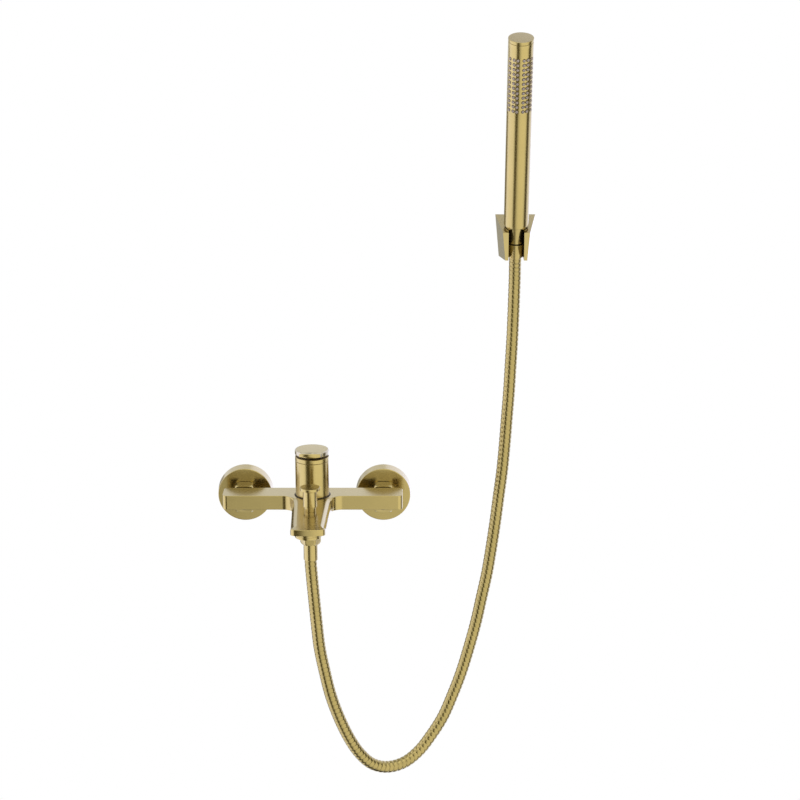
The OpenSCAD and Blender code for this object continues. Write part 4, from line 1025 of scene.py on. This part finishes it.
def make_card(name, start, end, strength, colour, soft, high_angle):
    if high_angle is None:
        edges = ((CARD_INNER, CARD_FLOOR_Z), (CARD_DISTANCE, CARD_FLOOR_Z))
    else:
        edges = [(CARD_DISTANCE, CARD_DISTANCE * math.tan(math.radians(angle)))
                 for angle in (CARD_LOW_ANGLE, high_angle)]
    bm = bmesh.new()
    across = bm.loops.layers.uv.new("across")
    columns = []
    for azimuth in steps_between(start, end, CARD_SPLITS):
        a = math.radians(azimuth)
        columns.append([bm.verts.new((r * math.sin(a), -r * math.cos(a), z)) for r, z in edges])
    for i, (first, second) in enumerate(zip(columns, columns[1:])):
        face = bm.faces.new((first[0], second[0], second[1], first[1]))
        for loop, u in zip(face.loops, (i, i + 1, i + 1, i)):
            loop[across].uv = (u / CARD_SPLITS, 0.5)
    light_panel(bm, name, strength, colour, soft)


def make_disc(name, height, radius, strength, behind):
    bm = bmesh.new()
    across = bm.loops.layers.uv.new("across")
    bmesh.ops.create_circle(bm, cap_ends=True, segments=64, radius=radius)
    for face in bm.faces:
        for loop in face.loops:
            loop[across].uv = (0.5, 0.5)
    light_panel(bm, name, strength, WHITE, SOFT, (0, behind, height))


def light_panel(bm, name, strength, colour, soft, location=(0, 0, 0)):
    """Turns bm into a card that the camera never sees. Its light fades out towards both ends."""
    panel = object_from(bm, name)
    panel.location = location
    material = bpy.data.materials.new(name)
    tree = empty_tree(material)
    place = add(tree, "ShaderNodeUVMap", uv_map="across")
    split = fed(tree, "ShaderNodeSeparateXYZ", place.outputs["UV"])
    fade = add(tree, "ShaderNodeFloatCurve")
    points = fade.mapping.curves[0].points
    points[0].location, points[1].location = (0, 0), (1, 0)
    for position in (soft, 1 - soft):
        points.new(position, 1)
    fade.mapping.update()
    tree.links.new(split.outputs["X"], fade.inputs["Value"])
    emission = add(tree, "ShaderNodeEmission", Color=(*colour, 1), Strength=strength)
    clear = add(tree, "ShaderNodeBsdfTransparent")
    mix = fed(tree, "ShaderNodeMixShader", fade.outputs["Value"], clear.outputs["BSDF"],
              emission.outputs["Emission"])
    fed(tree, "ShaderNodeOutputMaterial", mix.outputs["Shader"])
    panel.data.materials.append(material)
    panel.visible_camera = False
    panel.visible_shadow = False
    panel.visible_transmission = False
    panel.visible_diffuse = strength > LAMP_STRENGTH


def white_to_the_eye(tree, output, fill, white):
    """White for camera, glossy and transmission rays, and the fill for the rest."""
    path = add(tree, "ShaderNodeLightPath").outputs
    seen = maths(tree, "MAXIMUM", path["Is Camera Ray"], path["Is Glossy Ray"])
    shown = maths(tree, "MAXIMUM", seen, path["Is Transmission Ray"])
    mix = fed(tree, "ShaderNodeMixShader", shown, fill.outputs[0], white.outputs[0])
    fed(tree, output, mix.outputs["Shader"])


def make_studio():
    """A white world, a pale floor, and the cards that light the object and show in it."""
    world = bpy.data.worlds.new("studio")
    bpy.context.scene.world = world
    tree = empty_tree(world)
    white_to_the_eye(tree, "ShaderNodeOutputWorld",
                     add(tree, "ShaderNodeBackground", Color=(*WHITE, 1), Strength=WORLD_FILL),
                     add(tree, "ShaderNodeBackground", Color=(*WHITE, 1), Strength=1.0))

    bm = bmesh.new()
    bmesh.ops.create_circle(bm, cap_ends=True, segments=64, radius=FLOOR_RADIUS)
    floor = object_from(bm, "floor")
    floor.location.z = FLOOR_Z
    material = bpy.data.materials.new("pale_floor")
    tree = empty_tree(material)
    white_to_the_eye(tree, "ShaderNodeOutputMaterial",
                     add(tree, "ShaderNodeBsdfDiffuse", Color=FLOOR_TONE),
                     add(tree, "ShaderNodeEmission", Color=(*WHITE, 1), Strength=1.0))
    floor.data.materials.append(material)

    for card in CARDS:
        make_card(*card)
    for disc in DISCS:
        make_disc(*disc)


make_camera()
for side in ("left", "right"):
    make_flange(side)
    make_union_nut(side)
make_mixer_body()
make_tower()
make_handle()
make_knob()
make_aerator()
make_hose_nut()
make_tube()
make_nozzles()
make_handset_ends()
make_hose()
finish_cad_nodes()
make_studio()
